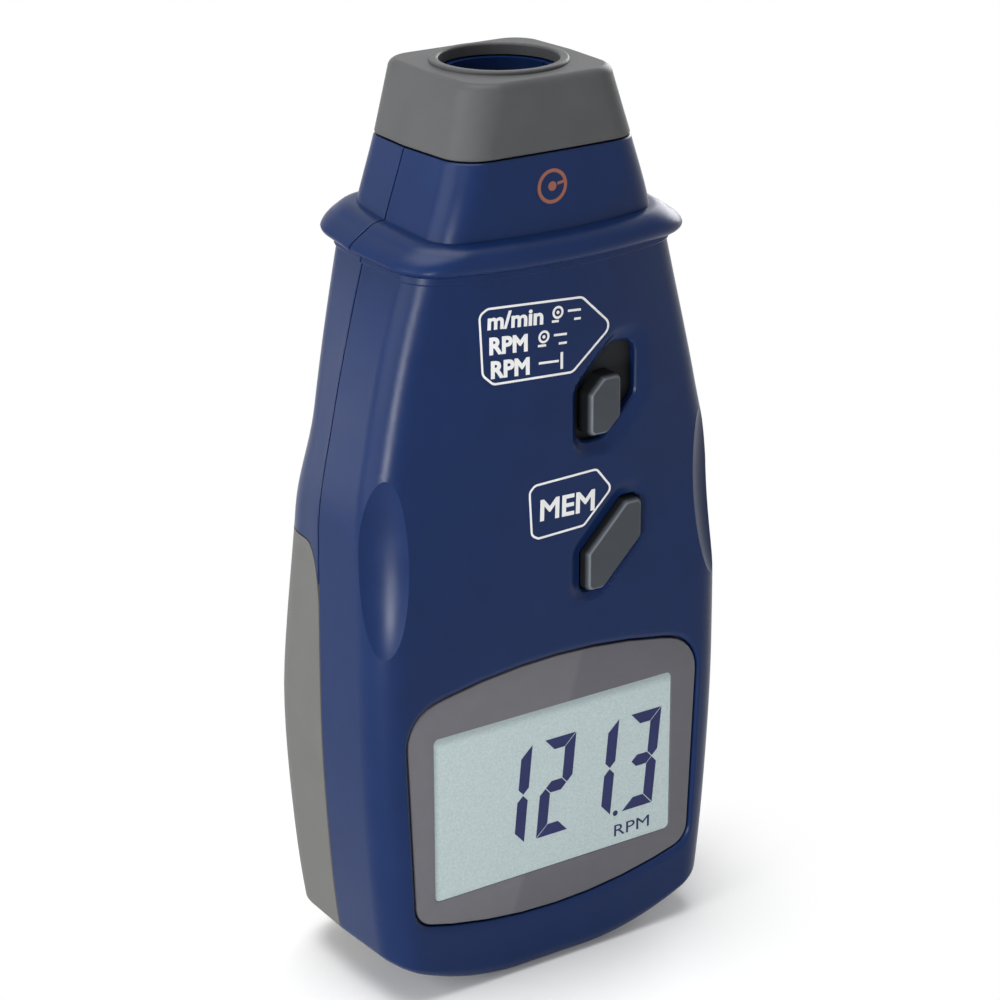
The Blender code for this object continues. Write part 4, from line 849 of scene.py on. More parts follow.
def shape_front(points):
    """Key dishes on the front half."""
    slot_wide = (slot_centre()[0] + SLOT_RECESS_SHIFT[0], slot_centre()[1] + SLOT_RECESS_SHIFT[1])
    mem_wide = (mem_centre()[0] + MEM_RECESS_SHIFT[0], mem_centre()[1] + MEM_RECESS_SHIFT[1])
    points = sink_dish(points, placed(knob_outline(SLOT_CLEARANCE, 1.0, KEY_CORNER + SLOT_CLEARANCE),
                                      slot_centre()),
                       placed(knob_outline(SLOT_MARGIN + DISH_SPREAD, 1.0, 0.005), slot_wide),
                       slot_floor() + DISH_DEEPER)
    points = sink_dish(points, placed(mem_outline(KEY_CLEARANCE, KEY_CORNER + KEY_CLEARANCE), mem_centre()),
                       placed(mem_outline(MEM_MARGIN + DISH_SPREAD, 0.0045), mem_wide),
                       mem_floor() + DISH_DEEPER)
    return points


def key_opening(target, outline, margin, centre, floor, clearance):
    """The pad behind the wall and the key's opening through both."""
    join(target, prism("pad", [(outline(margin, RECESS_CORNER), floor + 0.0001),
                               (outline(margin, RECESS_CORNER), floor + PAD_THICKNESS)], centre))
    hole = outline(clearance, KEY_CORNER + clearance)
    lip = outline(clearance + 0.0003, KEY_CORNER + clearance)
    return cut(target, prism("opening", [(lip, floor - 0.0006), (lip, floor - 0.00005),
                                         (hole, floor + 0.0003), (hole, floor + 2 * PAD_THICKNESS)], centre))


def finish(item, angle=30.0):
    """Smooth shading that keeps the real edges."""
    item.data.materials.clear()
    item.data.shade_smooth()
    item.data.set_sharp_from_angle(angle=math.radians(angle))
    return item


def even_normals(item):
    step = item.modifiers.new("even", "WEIGHTED_NORMAL")
    step.keep_sharp = True
    step.weight = 60
    return item


def show_front_shell():
    shell = half_case("front_shell_looks", shown_levels(), True, 12, CROWN_FINE, 8, shape_front)
    room = coarse_envelope("cavity", cavity_levels(WALL))
    cut(room, scoop_guard(-1), scoop_guard(1))
    cut(shell, room)
    _, _, floor = lens_levels()
    join(shell, prism("ledge", [(lens_outline(LEDGE_WIDTH), floor - GAP),
                                (lens_outline(LEDGE_WIDTH), floor + LEDGE_THICKNESS)]))
    stages = [(lens_outline(LIP_ROUND), -FRONT_DEPTH - LEAD)]
    for i in range(9):
        angle = math.pi / 2.0 * i / 8
        stages.append((lens_outline(LIP_ROUND * (1.0 - math.sin(angle))),
                       -FRONT_DEPTH + LIP_DEPTH * (1.0 - math.cos(angle))))
    stages.append((lens_outline(0.0), floor))
    half_x, half_z = LCD_WIDTH / 2.0 + GAP, LCD_HEIGHT / 2.0 + GAP
    cut(shell, prism("pocket", stages),
        box("opening", (-half_x, -FAR, LCD_CENTRE - half_z), (half_x, floor + 2 * WALL, LCD_CENTRE + half_z)))
    key_opening(shell, lambda grow, corner: knob_outline(grow, 1.0, corner), SLOT_MARGIN + PAD_WIDTH,
                slot_centre(), slot_floor(), SLOT_CLEARANCE)
    key_opening(shell, mem_outline, MEM_MARGIN + PAD_WIDTH, mem_centre(), mem_floor(), KEY_CLEARANCE)
    cut(shell, button_hole("hole"), spigot_bore("bore"), scoop_tool(-1), scoop_tool(1))
    return even_normals(finish(shell, 16.0))


def show_rear_shell():
    levels = shown_levels()[:9] + [pair for i, pair in enumerate(shown_levels()[9:]) if i % 3 == 0
                                   or pair[0] > KEY_ZONE[1]]
    shell = half_case("rear_shell_looks", levels, False, 12, 8, 2)
    cut(shell, cover_zone("zone", GAP))
    inset = COVER_WALL + GAP
    tray_levels = edge_levels(inset, BASE_EDGE, -inset, steps=3)
    tray_levels += [(level, -inset) for level in (BASE_BLEND, BELLY_HEIGHT, GRIP_HEIGHT)]
    join(shell, envelope("tray", tray_levels, CORNER_STEPS, TRAY_CROWN_STEPS, tray_limit()))
    keep(shell, box("half", (-FAR, PARTING + 0.00001, -FAR), (FAR, FAR, 3 * FAR)))
    room = coarse_envelope("cavity", cavity_levels(inset + TRAY_WALL), tray_limit() - TRAY_WALL)
    cut(room, bay_box("bay", BAY_WALL))
    cut(shell, room, bay_box("bay", 0.0))
    bore, well = SCREW_RADIUS + GAP, SCREW_HEAD_RADIUS + GAP
    profile = ((bore, -WALL), (bore, SCREW_SEAT), (well, SCREW_SEAT), (well, FAR))
    wells = []
    for x, z in screw_places():
        back = rear_depth(z) - (WALL / 2.0 if z > COVER_HEIGHT else inset + TRAY_WALL / 2.0)
        join(shell, rod("boss", BOSS_RADIUS, PARTING, back, (x, 0, z), "Y", ROUND_STEPS))
        wells.append(turned("well", profile, ROUND_STEPS, (x, 0, z), "Y"))
    cut(shell, *wells)
    cut(shell, button_hole("hole"), spigot_bore("bore"))
    return even_normals(finish(shell))


def show_battery_cover():
    levels = [pair for i, pair in enumerate(shown_levels()) if pair[0] < COLLAR_HEIGHT - 4 * BEAD_RADIUS
              and (i < 9 or i % 3 == 0)]
    cover = half_case("battery_cover_looks", levels, False, 14, 10, 2)
    inset = COVER_WALL
    room = edge_levels(inset, BASE_EDGE, -inset, steps=3)
    room += [(level, -inset) for level in (BASE_BLEND, BELLY_HEIGHT, GRIP_HEIGHT, CHEST_HEIGHT)]
    cut(cover, envelope("room", room, CORNER_STEPS, TRAY_CROWN_STEPS))
    keep(cover, cover_zone("zone", 0.0))
    return even_normals(finish(cover))


def show_nose_cap():
    low = SEAM_HEIGHT + GAP
    top = NOSE_HEIGHT - RIM_STEP
    levels = [(low, -0.00025), (low + 0.0001, -0.0001), (low + 0.00025, 0.0)]
    levels += [(level, 0.0) for level in spread(low, top - CAP_EDGE, 6)]
    steps = 10
    for i in range(steps + 1):
        angle = math.pi / 2.0 * i / steps
        levels.append((top - CAP_EDGE * (1.0 - math.sin(angle)), -CAP_EDGE * (1.0 - math.cos(angle))))
    cap = envelope("nose_cap_looks", levels, 14, 12)
    outer, step = BORE_RADIUS + RIM_WIDTH, 0.0002
    rim = turned("rim", ((outer, top - RIM_STEP), (outer, NOSE_HEIGHT - 2 * step),
                         (outer - 0.3 * step, NOSE_HEIGHT - step), (outer - step, NOSE_HEIGHT - 0.3 * step),
                         (outer - 2 * step, NOSE_HEIGHT), (BORE_RADIUS - LEAD, NOSE_HEIGHT)), 96)
    join(cap, rim)
    inside = [(low - WALL, -CAP_WALL), (SPIGOT_HEIGHT + GAP, -CAP_WALL)]
    bore = turned("bore", ((BORE_RADIUS, low), (BORE_RADIUS, NOSE_HEIGHT - 2 * step),
                           (BORE_RADIUS + 0.3 * step, NOSE_HEIGHT - step),
                           (BORE_RADIUS + step, NOSE_HEIGHT - 0.3 * step),
                           (BORE_RADIUS + 2 * step, NOSE_HEIGHT + 0.00002),
                           (BORE_RADIUS + 2 * step, NOSE_HEIGHT + WALL)), 96)
    cut(cap, envelope("room", inside), bore)
    return even_normals(finish(cap))


def key_stages(outline, top):
    """Outlines and depths that round a key's upper edge: a small round, the bevel and its foot."""
    stages = []
    for share, drop in ((1.0, 0.0), (0.80, 0.00004), (0.62, 0.00014), (0.28, 0.00042), (0.10, 0.00064),
                        (0.0, 0.00098)):
        stages.append((outline(-KEY_CHAMFER * share), top + drop))
    return stages


def show_mem_key():
    centre = mem_centre()
    flange_front, flange_back = key_levels(mem_floor())
    top = front_surface(*centre) - KEY_PROUD
    fine = lambda grow: slanted_outline(MEM_HALF_WIDTH + grow, MEM_HALF_HEIGHT + grow,
                                        MEM_BAND + grow * BAND_GROWTH, KEY_CORNER + grow * 0.5, 8)
    stages = key_stages(fine, top) + [(fine(0.0), flange_front), (fine(FLANGE_WIDTH), flange_front),
                                      (fine(FLANGE_WIDTH), flange_back)]
    return even_normals(finish(prism("mem_key_looks", stages, centre)))


def show_mode_knob():
    pad_back = slot_floor() + PAD_THICKNESS
    top = front_surface(*slot_centre()) - KEY_PROUD
    fine = lambda grow: slanted_outline(KNOB_HALF_WIDTH + grow, KNOB_HALF_HEIGHT + grow,
                                        KNOB_BAND + grow * BAND_GROWTH, KEY_CORNER + grow * 0.5, 8)
    knob = prism("mode_knob_looks", key_stages(fine, top) + [(fine(0.0), pad_back)], (KNOB_X, KNOB_HEIGHT))
    end = BOARD_FRONT - GAP - SWITCH_HEIGHT + STEM_SUNK
    join(knob, rod("stem", STEM_RADIUS, pad_back - WALL, end, (KNOB_X, 0, KNOB_HEIGHT), "Y"))
    return even_normals(finish(knob))


def show_measure_button():
    half = BUTTON_LENGTH / 2.0
    wall_face = half_width(BUTTON_HEIGHT + half + FLANGE_WIDTH) - WALL - SIDE_DRAFT * BUTTON_WIDTH
    flange_outer = wall_face - GAP
    flange_inner = flange_outer - FLANGE_THICKNESS
    stages = [(button_outline(FLANGE_WIDTH), lambda z: flange_inner),
              (button_outline(FLANGE_WIDTH), lambda z: flange_outer),
              (button_outline(0.0), lambda z: flange_outer)]
    for share, drop in ((0.0, 1.4), (0.10, 0.9), (0.28, 0.6), (0.62, 0.2), (0.80, 0.06), (1.0, 0.0)):
        stages.append((button_outline(-KEY_CHAMFER * share),
                       lambda z, drop=drop: button_face(z, BUTTON_PROUD - KEY_CHAMFER * drop)))
    return even_normals(finish(side_prism("measure_button_looks", stages)))


def show_display():
    """The bezel with its opening, and the pane of liquid crystal sunk into it."""
    face, back, _ = lens_levels()
    bezel = prism("display_bezel", [(lens_outline(-GAP - 0.0003), face),
                                    (lens_outline(-GAP - 0.0001), face + 0.00007),
                                    (lens_outline(-GAP), face + 0.00025), (lens_outline(-GAP), back)])
    x0, x1, z0, z1 = OPENING
    frame_line = lambda grow: rounded_outline([(x0 - grow, z0 - grow), (x1 + grow, z0 - grow),
                                               (x1 + grow, z1 + grow), (x0 - grow, z1 + grow)], 0.001, 6)
    cut(bezel, prism("opening", [(frame_line(0.00012), face - LEAD), (frame_line(0.00012), face),
                                 (frame_line(0.0), face + 0.00012), (frame_line(0.0), back + LEAD)]))
    finish(bezel)
    pane = prism("display_pane", [(frame_line(-0.00003), face + PANE_SUNK), (frame_line(-0.00003), back)])
    return bezel, finish(pane)


def plate(name, points, faces, place):
    """A thin closed plate from flat points and faces; place gives its front and back points."""
    count = len(points)
    verts = [place(x, z, False) for x, z in points] + [place(x, z, True) for x, z in points]
    edges = {}
    for face in faces:
        for i in range(len(face)):
            edges[(face[i], face[(i + 1) % len(face)])] = True
    solid = [tuple(f) for f in faces] + [tuple(count + i for i in reversed(f)) for f in faces]
    solid += [(b, a, a + count, b + count) for a, b in edges if (b, a) not in edges]
    mesh = bpy.data.meshes.new(name)
    mesh.from_pydata([tuple(v) for v in verts], [], solid)
    work = bmesh.new()
    work.from_mesh(mesh)
    bmesh.ops.recalc_face_normals(work, faces=work.faces)
    work.to_mesh(mesh)
    work.free()
    item = bpy.data.objects.new(name, mesh)
    bpy.context.collection.objects.link(item)
    return item


def pane_place(x, z, back):
    face = lens_levels()[0] + PANE_SUNK
    return (x, face + (0.00002 if back else -MARK_LIFT), z)


def make_face_place(tree, plane):
    """Gives points on the shell's real face, from where they were measured on a plane before it."""
    def place(x, z, back):
        way = (Vector((x, plane, z)) - MEASURED_FROM).normalized()
        hit = tree.ray_cast(MEASURED_FROM, way)[0]
        return (hit.x, hit.y + (MARK_SUNK if back else -MARK_LIFT), hit.z)
    return place


def text_shape(text, bold):
    """Flat points and faces of a word, with its left end and foot at zero."""
    curve = bpy.data.curves.new("word", "FONT")
    curve.body = text
    curve.resolution_u = 3
    item = bpy.data.objects.new("word", curve)
    bpy.context.collection.objects.link(item)
    mesh = bpy.data.meshes.new_from_object(item.evaluated_get(bpy.context.evaluated_depsgraph_get()))
    work = bmesh.new()
    work.from_mesh(mesh)
    bmesh.ops.remove_doubles(work, verts=work.verts, dist=1e-5)
    work.verts.index_update()
    points = [(v.co.x, v.co.y) for v in work.verts]
    faces = [tuple(v.index for v in f.verts) for f in work.faces]
    sides = {}
    for edge in work.edges:
        if len(edge.link_faces) == 1:
            a, b = edge.verts
            middle = edge.link_faces[0].calc_center_median()
            way = (b.co - a.co).normalized()
            out = Vector((-way.y, way.x))
            if out.dot((middle - a.co).to_2d()) > 0.0:
                out = -out
            sides.setdefault(a.index, []).append(out)
            sides.setdefault(b.index, []).append(out)
    for index, outs in sides.items():
        mean = sum(outs, Vector((0.0, 0.0)))
        if mean.length > 1e-6:
            mean.normalize()
            reach = bold / max(mean.dot(outs[0]), 0.6)
            points[index] = (points[index][0] + mean.x * reach, points[index][1] + mean.y * reach)
    work.free()
    bpy.data.objects.remove(item)
    bpy.data.curves.remove(curve)
    bpy.data.meshes.remove(mesh)
    low = min(p[0] for p in points)
    high = max(p[0] for p in points)
    return [((u - low) / (high - low), v) for u, v in points], faces


def word(name, text, start, end, rise, place, bold=0.0):
    """A word laid between two points, its capitals as high as the rise in X and Z."""
    points, faces = text_shape(text, bold)
    tall = max(v for _, v in points)
    across = (end[0] - start[0], end[1] - start[1])
    laid = [(start[0] + across[0] * u + rise[0] * v / tall, start[1] + across[1] * u + rise[1] * v / tall)
            for u, v in points]
    return plate(name, laid, faces, place)


def line_loop(name, corners, radius, width, place):
    """A closed line of even width round a rounded polygon."""
    path = [Vector(p) for p in rounded_outline(corners, radius, 8)]
    fine = []
    for a, b in zip(path, path[1:] + path[:1]):
        parts = max(1, int((b - a).length / 0.0006))
        fine += [a + (b - a) * k / parts for k in range(parts)]
    count = len(fine)
    points = []
    for i, here in enumerate(fine):
        way = (fine[(i + 1) % count] - fine[i - 1]).normalized()
        normal = Vector((-way.y, way.x)) * width / 2
        points += [tuple(here + normal), tuple(here - normal)]
    faces = [(2 * i, 2 * i + 1, (2 * i + 3) % (2 * count), (2 * i + 2) % (2 * count)) for i in range(count)]
    return plate(name, points, faces, place)


def disc_shape(centre, radius, inner=0.0, steps=32):
    """Flat points and faces of a disc or a ring."""
    points, faces = [], []
    for i in range(steps):
        angle = 2 * math.pi * i / steps
        points.append((centre[0] + radius * math.cos(angle), centre[1] + radius * math.sin(angle)))
    if inner:
        for i in range(steps):
            angle = 2 * math.pi * i / steps
            points.append((centre[0] + inner * math.cos(angle), centre[1] + inner * math.sin(angle)))
        faces = [(i, (i + 1) % steps, steps + (i + 1) % steps, steps + i) for i in range(steps)]
    else:
        points.append(centre)
        faces = [(i, (i + 1) % steps, steps) for i in range(steps)]
    return points, faces


def bar_shape(start, end, width):
    way = (Vector(end) - Vector(start)).normalized()
    normal = Vector((-way.y, way.x)) * width / 2
    a, b = Vector(start), Vector(end)
    return [tuple(a - normal), tuple(b - normal), tuple(b + normal), tuple(a + normal)], [(0, 1, 2, 3)]


def shapes_plate(name, shapes, place):
    points, faces = [], []
    for some, their in shapes:
        faces += [tuple(i + len(points) for i in face) for face in their]
        points += some
    return plate(name, points, faces, place)


def digit_shapes(label, right_top, top, width=0.0067, height=0.0184, thick=0.00215, gap=0.00011, slant=0.1):
    """The lit segments of one figure of the display."""
    w, h, t, g, m = width, height, thick, gap, height / 2
    k = t / 2
    segments = {
        "a": [(g, h), (w - g, h), (w - t - g, h - t), (t + g, h - t)],
        "d": [(g, 0), (t + g, t), (w - t - g, t), (w - g, 0)],
        "f": [(0, h - g), (t, h - t - g), (t, m + k + g), (k, m + g), (0, m + k + g)],
        "b": [(w, h - g), (w, m + k + g), (w - k, m + g), (w - t, m + k + g), (w - t, h - t - g)],
        "e": [(0, g), (0, m - k - g), (k, m - g), (t, m - k - g), (t, t + g)],
        "c": [(w, g), (w - t, t + g), (w - t, m - k - g), (w - k, m - g), (w, m - k - g)],
        "g": [(k + g, m), (t + g, m + k), (w - t - g, m + k), (w - k - g, m),
              (w - t - g, m - k), (t + g, m - k)],
    }
    shapes = []
    for name in SEGMENTS[label]:
        points = [(right_top - w + x + slant * (z - h), top - h + z) for x, z in segments[name]]
        shapes.append((points, [tuple(range(len(points)))]))
    return shapes


def nodes_of(name):
    material = bpy.data.materials.new(name)
    material.use_nodes = True
    tree = material.node_tree
    return material, tree, tree.nodes["Principled BSDF"]


def add(tree, kind, inputs=(), **values):
    node = tree.nodes.new(kind)
    for key, value in values.items():
        setattr(node, key, value)
    for key, value in dict(inputs).items():
        if isinstance(value, bpy.types.NodeSocket):
            tree.links.new(value, node.inputs[key])
        else:
            node.inputs[key].default_value = value
    return node


def tinted(tree, where, colour, change, scale, detail=3.0):
    """A colour that wanders a little round its mean over the surface."""
    noise = add(tree, "ShaderNodeTexNoise", {"Vector": where, "Scale": scale, "Detail": detail})
    ramp = add(tree, "ShaderNodeValToRGB", {"Fac": noise.outputs["Fac"]})
    ramp.color_ramp.elements[0].position = 0.3
    ramp.color_ramp.elements[1].position = 0.7
    ramp.color_ramp.elements[0].color = (*[c * (1.0 - change) for c in colour], 1.0)
    ramp.color_ramp.elements[1].color = (*[min(c * (1.0 + change), 1.0) for c in colour], 1.0)
    return ramp.outputs["Color"], noise.outputs["Fac"]


def surface(name, colour, roughness, grain=0.10, grain_scale=5200.0, change=0.05, scale=160.0, specular=0.4,
            metallic=0.0, coat=0.0, depth=0.00002):
    """A plastic or metal with a fine grain, a slightly uneven tone and an uneven gloss."""
    material, tree, shader = nodes_of(name)
    where = add(tree, "ShaderNodeTexCoord").outputs["Object"]
    tone, wave = tinted(tree, where, colour, change, scale)
    tree.links.new(tone, shader.inputs["Base Color"])
    gloss = add(tree, "ShaderNodeMapRange", {"Value": wave, "From Min": 0.3, "From Max": 0.7,
                                             "To Min": roughness - 0.03, "To Max": roughness + 0.03})
    tree.links.new(gloss.outputs["Result"], shader.inputs["Roughness"])
    fine = add(tree, "ShaderNodeTexNoise", {"Vector": where, "Scale": grain_scale, "Detail": 2.0})
    bump = add(tree, "ShaderNodeBump", {"Height": fine.outputs["Fac"], "Strength": grain, "Distance": depth})
    tree.links.new(bump.outputs["Normal"], shader.inputs["Normal"])
    shader.inputs["Specular IOR Level"].default_value = specular
    shader.inputs["Metallic"].default_value = metallic
    shader.inputs["Coat Weight"].default_value = coat
    shader.inputs["Coat Roughness"].default_value = 0.08
    return material


def key_surface():
    """Rubber of the keys, with a painted highlight as a lighter line round the face and painted shade that darkens
    the walls below it.
    """
    material = surface("key_grey", (0.041, 0.046, 0.053), 0.32, grain=0.06, specular=0.12)
    tree = material.node_tree
    shader = tree.nodes["Principled BSDF"]
    tone = shader.inputs["Base Color"].links[0].from_socket
    parts = add(tree, "ShaderNodeSeparateXYZ", {"Vector": add(tree, "ShaderNodeTexCoord").outputs["Object"]})
    knob_share = add(tree, "ShaderNodeMath", {0: parts.outputs["Z"], 1: KEYS_SPLIT}, operation="GREATER_THAN")
    knob_top = front_surface(*slot_centre()) - KEY_PROUD
    mem_top = front_surface(*mem_centre()) - KEY_PROUD
    top = add(tree, "ShaderNodeMapRange", {"Value": knob_share.outputs["Value"], "To Min": mem_top,
                                           "To Max": knob_top})
    depth = add(tree, "ShaderNodeMath", {0: parts.outputs["Y"], 1: top.outputs["Result"]},
                operation="SUBTRACT")
    begin = add(tree, "ShaderNodeMapRange", {"Value": depth.outputs["Value"], "From Min": 0.00001,
                                             "From Max": 0.00005})
    end = add(tree, "ShaderNodeMapRange", {"Value": depth.outputs["Value"], "From Min": 0.00018,
                                           "From Max": 0.00040, "To Min": 1.0, "To Max": 0.0})
    # Painted highlight: a lighter line on the bevel round the key's face.
    line = add(tree, "ShaderNodeMath", {0: begin.outputs["Result"], 1: end.outputs["Result"]},
               operation="MULTIPLY")
    # Painted shade: the key's walls below the bevel are darkened.
    wall = add(tree, "ShaderNodeMapRange", {"Value": depth.outputs["Value"], "From Min": 0.00045,
                                            "From Max": 0.0011, "To Min": 1.0, "To Max": 0.22})
    # This gain brightens the base colour on the bevel and darkens it on the walls: painted highlight and painted
    # shade.
    highlight_and_shade_gain = add(tree, "ShaderNodeMath", {0: line.outputs["Value"], 1: 1.5, 2: wall.outputs["Result"]},
               operation="MULTIPLY_ADD")
    scaled = add(tree, "ShaderNodeVectorMath", {0: tone, "Scale": highlight_and_shade_gain.outputs["Value"]}, operation="SCALE")
    tree.links.new(scaled.outputs["Vector"], shader.inputs["Base Color"])
    return material


def bezel_surface():
    """Printed grey behind a clear glossy face, with a painted reflection: a shade darker right of a rising line than
    left of it.
    """
    material, tree, shader = nodes_of("bezel")
    where = add(tree, "ShaderNodeTexCoord").outputs["Object"]
    tone, _ = tinted(tree, where, (0.096, 0.094, 0.106), 0.03, 300.0)
    dim_side_of_painted_reflection, _ = tinted(tree, where, (0.078, 0.077, 0.090), 0.03, 300.0)
    parts = add(tree, "ShaderNodeSeparateXYZ", {"Vector": where})
    # Painted reflection: left of this rising line the grey is lighter, right of it the grey is a shade lower.
    slope = add(tree, "ShaderNodeMath", {0: parts.outputs["Z"], 1: -REFLECTION_EDGE_SLOPE, 2: REFLECTION_EDGE},
                operation="MULTIPLY_ADD")
    share = add(tree, "ShaderNodeMath", {0: parts.outputs["X"], 1: slope.outputs["Value"]}, operation="ADD")
    step = add(tree, "ShaderNodeMapRange", {"Value": share.outputs["Value"], "From Min": -0.0006,
                                            "From Max": 0.0006})
    mix = add(tree, "ShaderNodeMix", {"Factor": step.outputs["Result"], "A": tone, "B": dim_side_of_painted_reflection},
              data_type="RGBA")
    tree.links.new(mix.outputs["Result"], shader.inputs["Base Color"])
    shader.inputs["Roughness"].default_value = 0.16
    shader.inputs["Specular IOR Level"].default_value = 0.35
    return material


def pane_surface():
    """Grey-green reflector with fine speckle, and the border's painted shadow along its upper edge and, fainter,
    along its left edge.
    """
    material, tree, shader = nodes_of("liquid_crystal")
    where = add(tree, "ShaderNodeTexCoord").outputs["Object"]
    tone, _ = tinted(tree, where, (0.345, 0.413, 0.418), 0.09, 3600.0, 1.0)
    parts = add(tree, "ShaderNodeSeparateXYZ", {"Vector": where})
    upper = add(tree, "ShaderNodeMapRange", {"Value": parts.outputs["Z"], "From Min": OPENING[3] - 0.0022,
                                             "From Max": OPENING[3] - 0.0002, "To Min": 0.0, "To Max": 0.42},
                interpolation_type="SMOOTHSTEP")
    left = add(tree, "ShaderNodeMapRange", {"Value": parts.outputs["X"], "From Min": OPENING[0] + 0.0012,
                                            "From Max": OPENING[0] + 0.0001, "To Min": 0.0, "To Max": 0.30},
               interpolation_type="SMOOTHSTEP")
    shade = add(tree, "ShaderNodeMath", {0: upper.outputs["Result"], 1: left.outputs["Result"]},
                operation="MAXIMUM")
    mix = add(tree, "ShaderNodeMix", {"Factor": shade.outputs["Value"], "A": tone,
                                      "B": (0.10, 0.13, 0.15, 1.0)}, data_type="RGBA")
    tree.links.new(mix.outputs["Result"], shader.inputs["Base Color"])
    shader.inputs["Roughness"].default_value = 0.30
    shader.inputs["Specular IOR Level"].default_value = 0.3
    return material


def brushed(name, colour, roughness, scale=(60.0, 60.0, 2600.0)):
    """Metal with fine drawn lines."""
    material, tree, shader = nodes_of(name)
    where = add(tree, "ShaderNodeTexCoord").outputs["Object"]
    turn = add(tree, "ShaderNodeMapping", {"Vector": where, "Scale": scale})
    tone, wave = tinted(tree, turn.outputs["Vector"], colour, 0.07, 6.0)
    tree.links.new(tone, shader.inputs["Base Color"])
    gloss = add(tree, "ShaderNodeMapRange", {"Value": wave, "To Min": roughness - 0.08,
                                             "To Max": roughness + 0.08})
    tree.links.new(gloss.outputs["Result"], shader.inputs["Roughness"])
    shader.inputs["Metallic"].default_value = 1.0
    return material


def board_surface():
    """Solder mask with copper tracks showing faintly through it."""
    material, tree, shader = nodes_of("solder_mask")
    where = add(tree, "ShaderNodeTexCoord").outputs["Object"]
    tone, _ = tinted(tree, where, (0.010, 0.110, 0.050), 0.10, 300.0)
    cells = add(tree, "ShaderNodeTexVoronoi", {"Vector": where, "Scale": 420.0, "Randomness": 0.6},
                distance="CHEBYCHEV", feature="F1")
    lines = add(tree, "ShaderNodeMapRange", {"Value": cells.outputs["Distance"], "From Min": 0.42,
                                             "From Max": 0.5})
    mix = add(tree, "ShaderNodeMix", {"Factor": lines.outputs["Result"], "A": tone,
                                      "B": (0.03, 0.19, 0.08, 1.0)}, data_type="RGBA")
    tree.links.new(mix.outputs["Result"], shader.inputs["Base Color"])
    shader.inputs["Roughness"].default_value = 0.35
    return material


def floor_surface():
    """Pale floor that keeps the shadow near the object and turns plain white further out."""
    material, tree, shader = nodes_of("floor")
    where = add(tree, "ShaderNodeTexCoord").outputs["Object"]
    shader.inputs["Base Color"].default_value = (*[FLOOR_TONE] * 3, 1.0)
    shader.inputs["Roughness"].default_value = 0.9
    shader.inputs["Specular IOR Level"].default_value = 0.0
    length = add(tree, "ShaderNodeVectorMath", {0: where}, operation="LENGTH")
    far = add(tree, "ShaderNodeMapRange", {"Value": length.outputs["Value"], "From Min": 0.028,
                                           "From Max": 0.080},
              interpolation_type="SMOOTHSTEP")
    rays = add(tree, "ShaderNodeLightPath")
    seen = add(tree, "ShaderNodeMath", {0: rays.outputs["Is Camera Ray"], 1: rays.outputs["Is Glossy Ray"]},
               operation="ADD")
    seen = add(tree, "ShaderNodeMath", {0: seen.outputs["Value"], 1: rays.outputs["Is Transmission Ray"]},
               operation="ADD", use_clamp=True)
    white = add(tree, "ShaderNodeEmission", {"Color": (1, 1, 1, 1), "Strength": 1.0})
    factor = add(tree, "ShaderNodeMath", {0: far.outputs["Result"], 1: seen.outputs["Value"]},
                 operation="MULTIPLY")
    mix = add(tree, "ShaderNodeMixShader", {0: factor.outputs["Value"], 1: shader.outputs["BSDF"],
                                            2: white.outputs["Emission"]})
    tree.links.new(mix.outputs["Shader"], tree.nodes["Material Output"].inputs["Surface"])
    return material


def area_light(name, place, aim, size, power, colour=(1, 1, 1), shape_y=None):
    data = bpy.data.lights.new(name, "AREA")
    data.energy = power
    data.color = colour
    data.shape = "RECTANGLE"
    data.size = size
    data.size_y = shape_y or size
    item = bpy.data.objects.new(name, data)
    item.location = place
    item.rotation_euler = (Vector(aim) - Vector(place)).to_track_quat("-Z", "Y").to_euler()
    bpy.context.collection.objects.link(item)
    return item


def make_world():
    world = bpy.data.worlds.new("studio")
    bpy.context.scene.world = world
    world.use_nodes = True
    tree = world.node_tree
    shader = tree.nodes["Background"]
    rays = add(tree, "ShaderNodeLightPath")
    seen = add(tree, "ShaderNodeMath", {0: rays.outputs["Is Camera Ray"], 1: rays.outputs["Is Glossy Ray"]},
               operation="ADD")
    seen = add(tree, "ShaderNodeMath", {0: seen.outputs["Value"], 1: rays.outputs["Is Transmission Ray"]},
               operation="ADD", use_clamp=True)
    strength = add(tree, "ShaderNodeMapRange", {"Value": seen.outputs["Value"], "To Min": WORLD_LIGHT,
                                                "To Max": 1.0})
    tree.links.new(strength.outputs["Result"], shader.inputs["Strength"])
    shader.inputs["Color"].default_value = (1, 1, 1, 1)


def make_camera():
    """The camera that was fitted to the photograph."""
    yaw, pitch, roll = math.radians(34.07), math.radians(20.99), math.radians(-0.20)
    rz = Matrix(((math.cos(yaw), -math.sin(yaw), 0), (math.sin(yaw), math.cos(yaw), 0), (0, 0, 1)))
    base = Matrix(((1, 0, 0), (0, 0, -1), (0, 1, 0)))
    rp = Matrix(((1, 0, 0), (0, math.cos(pitch), -math.sin(pitch)), (0, math.sin(pitch), math.cos(pitch))))
    rr = Matrix(((math.cos(roll), -math.sin(roll), 0), (math.sin(roll), math.cos(roll), 0), (0, 0, 1)))
    turn = rr @ rp @ base @ rz
    data = bpy.data.cameras.new("camera")
    data.lens = 108.07
    data.sensor_width = 36.0
    data.clip_start = 0.01
    camera = bpy.data.objects.new("camera", data)
    bpy.context.collection.objects.link(camera)
    camera.matrix_world = Matrix((
        (turn[0][0], -turn[1][0], -turn[2][0], -0.27166),
        (turn[0][1], -turn[1][1], -turn[2][1], -0.40155),
        (turn[0][2], -turn[1][2], -turn[2][2], 0.26815),
        (0, 0, 0, 1)))
    bpy.context.scene.camera = camera


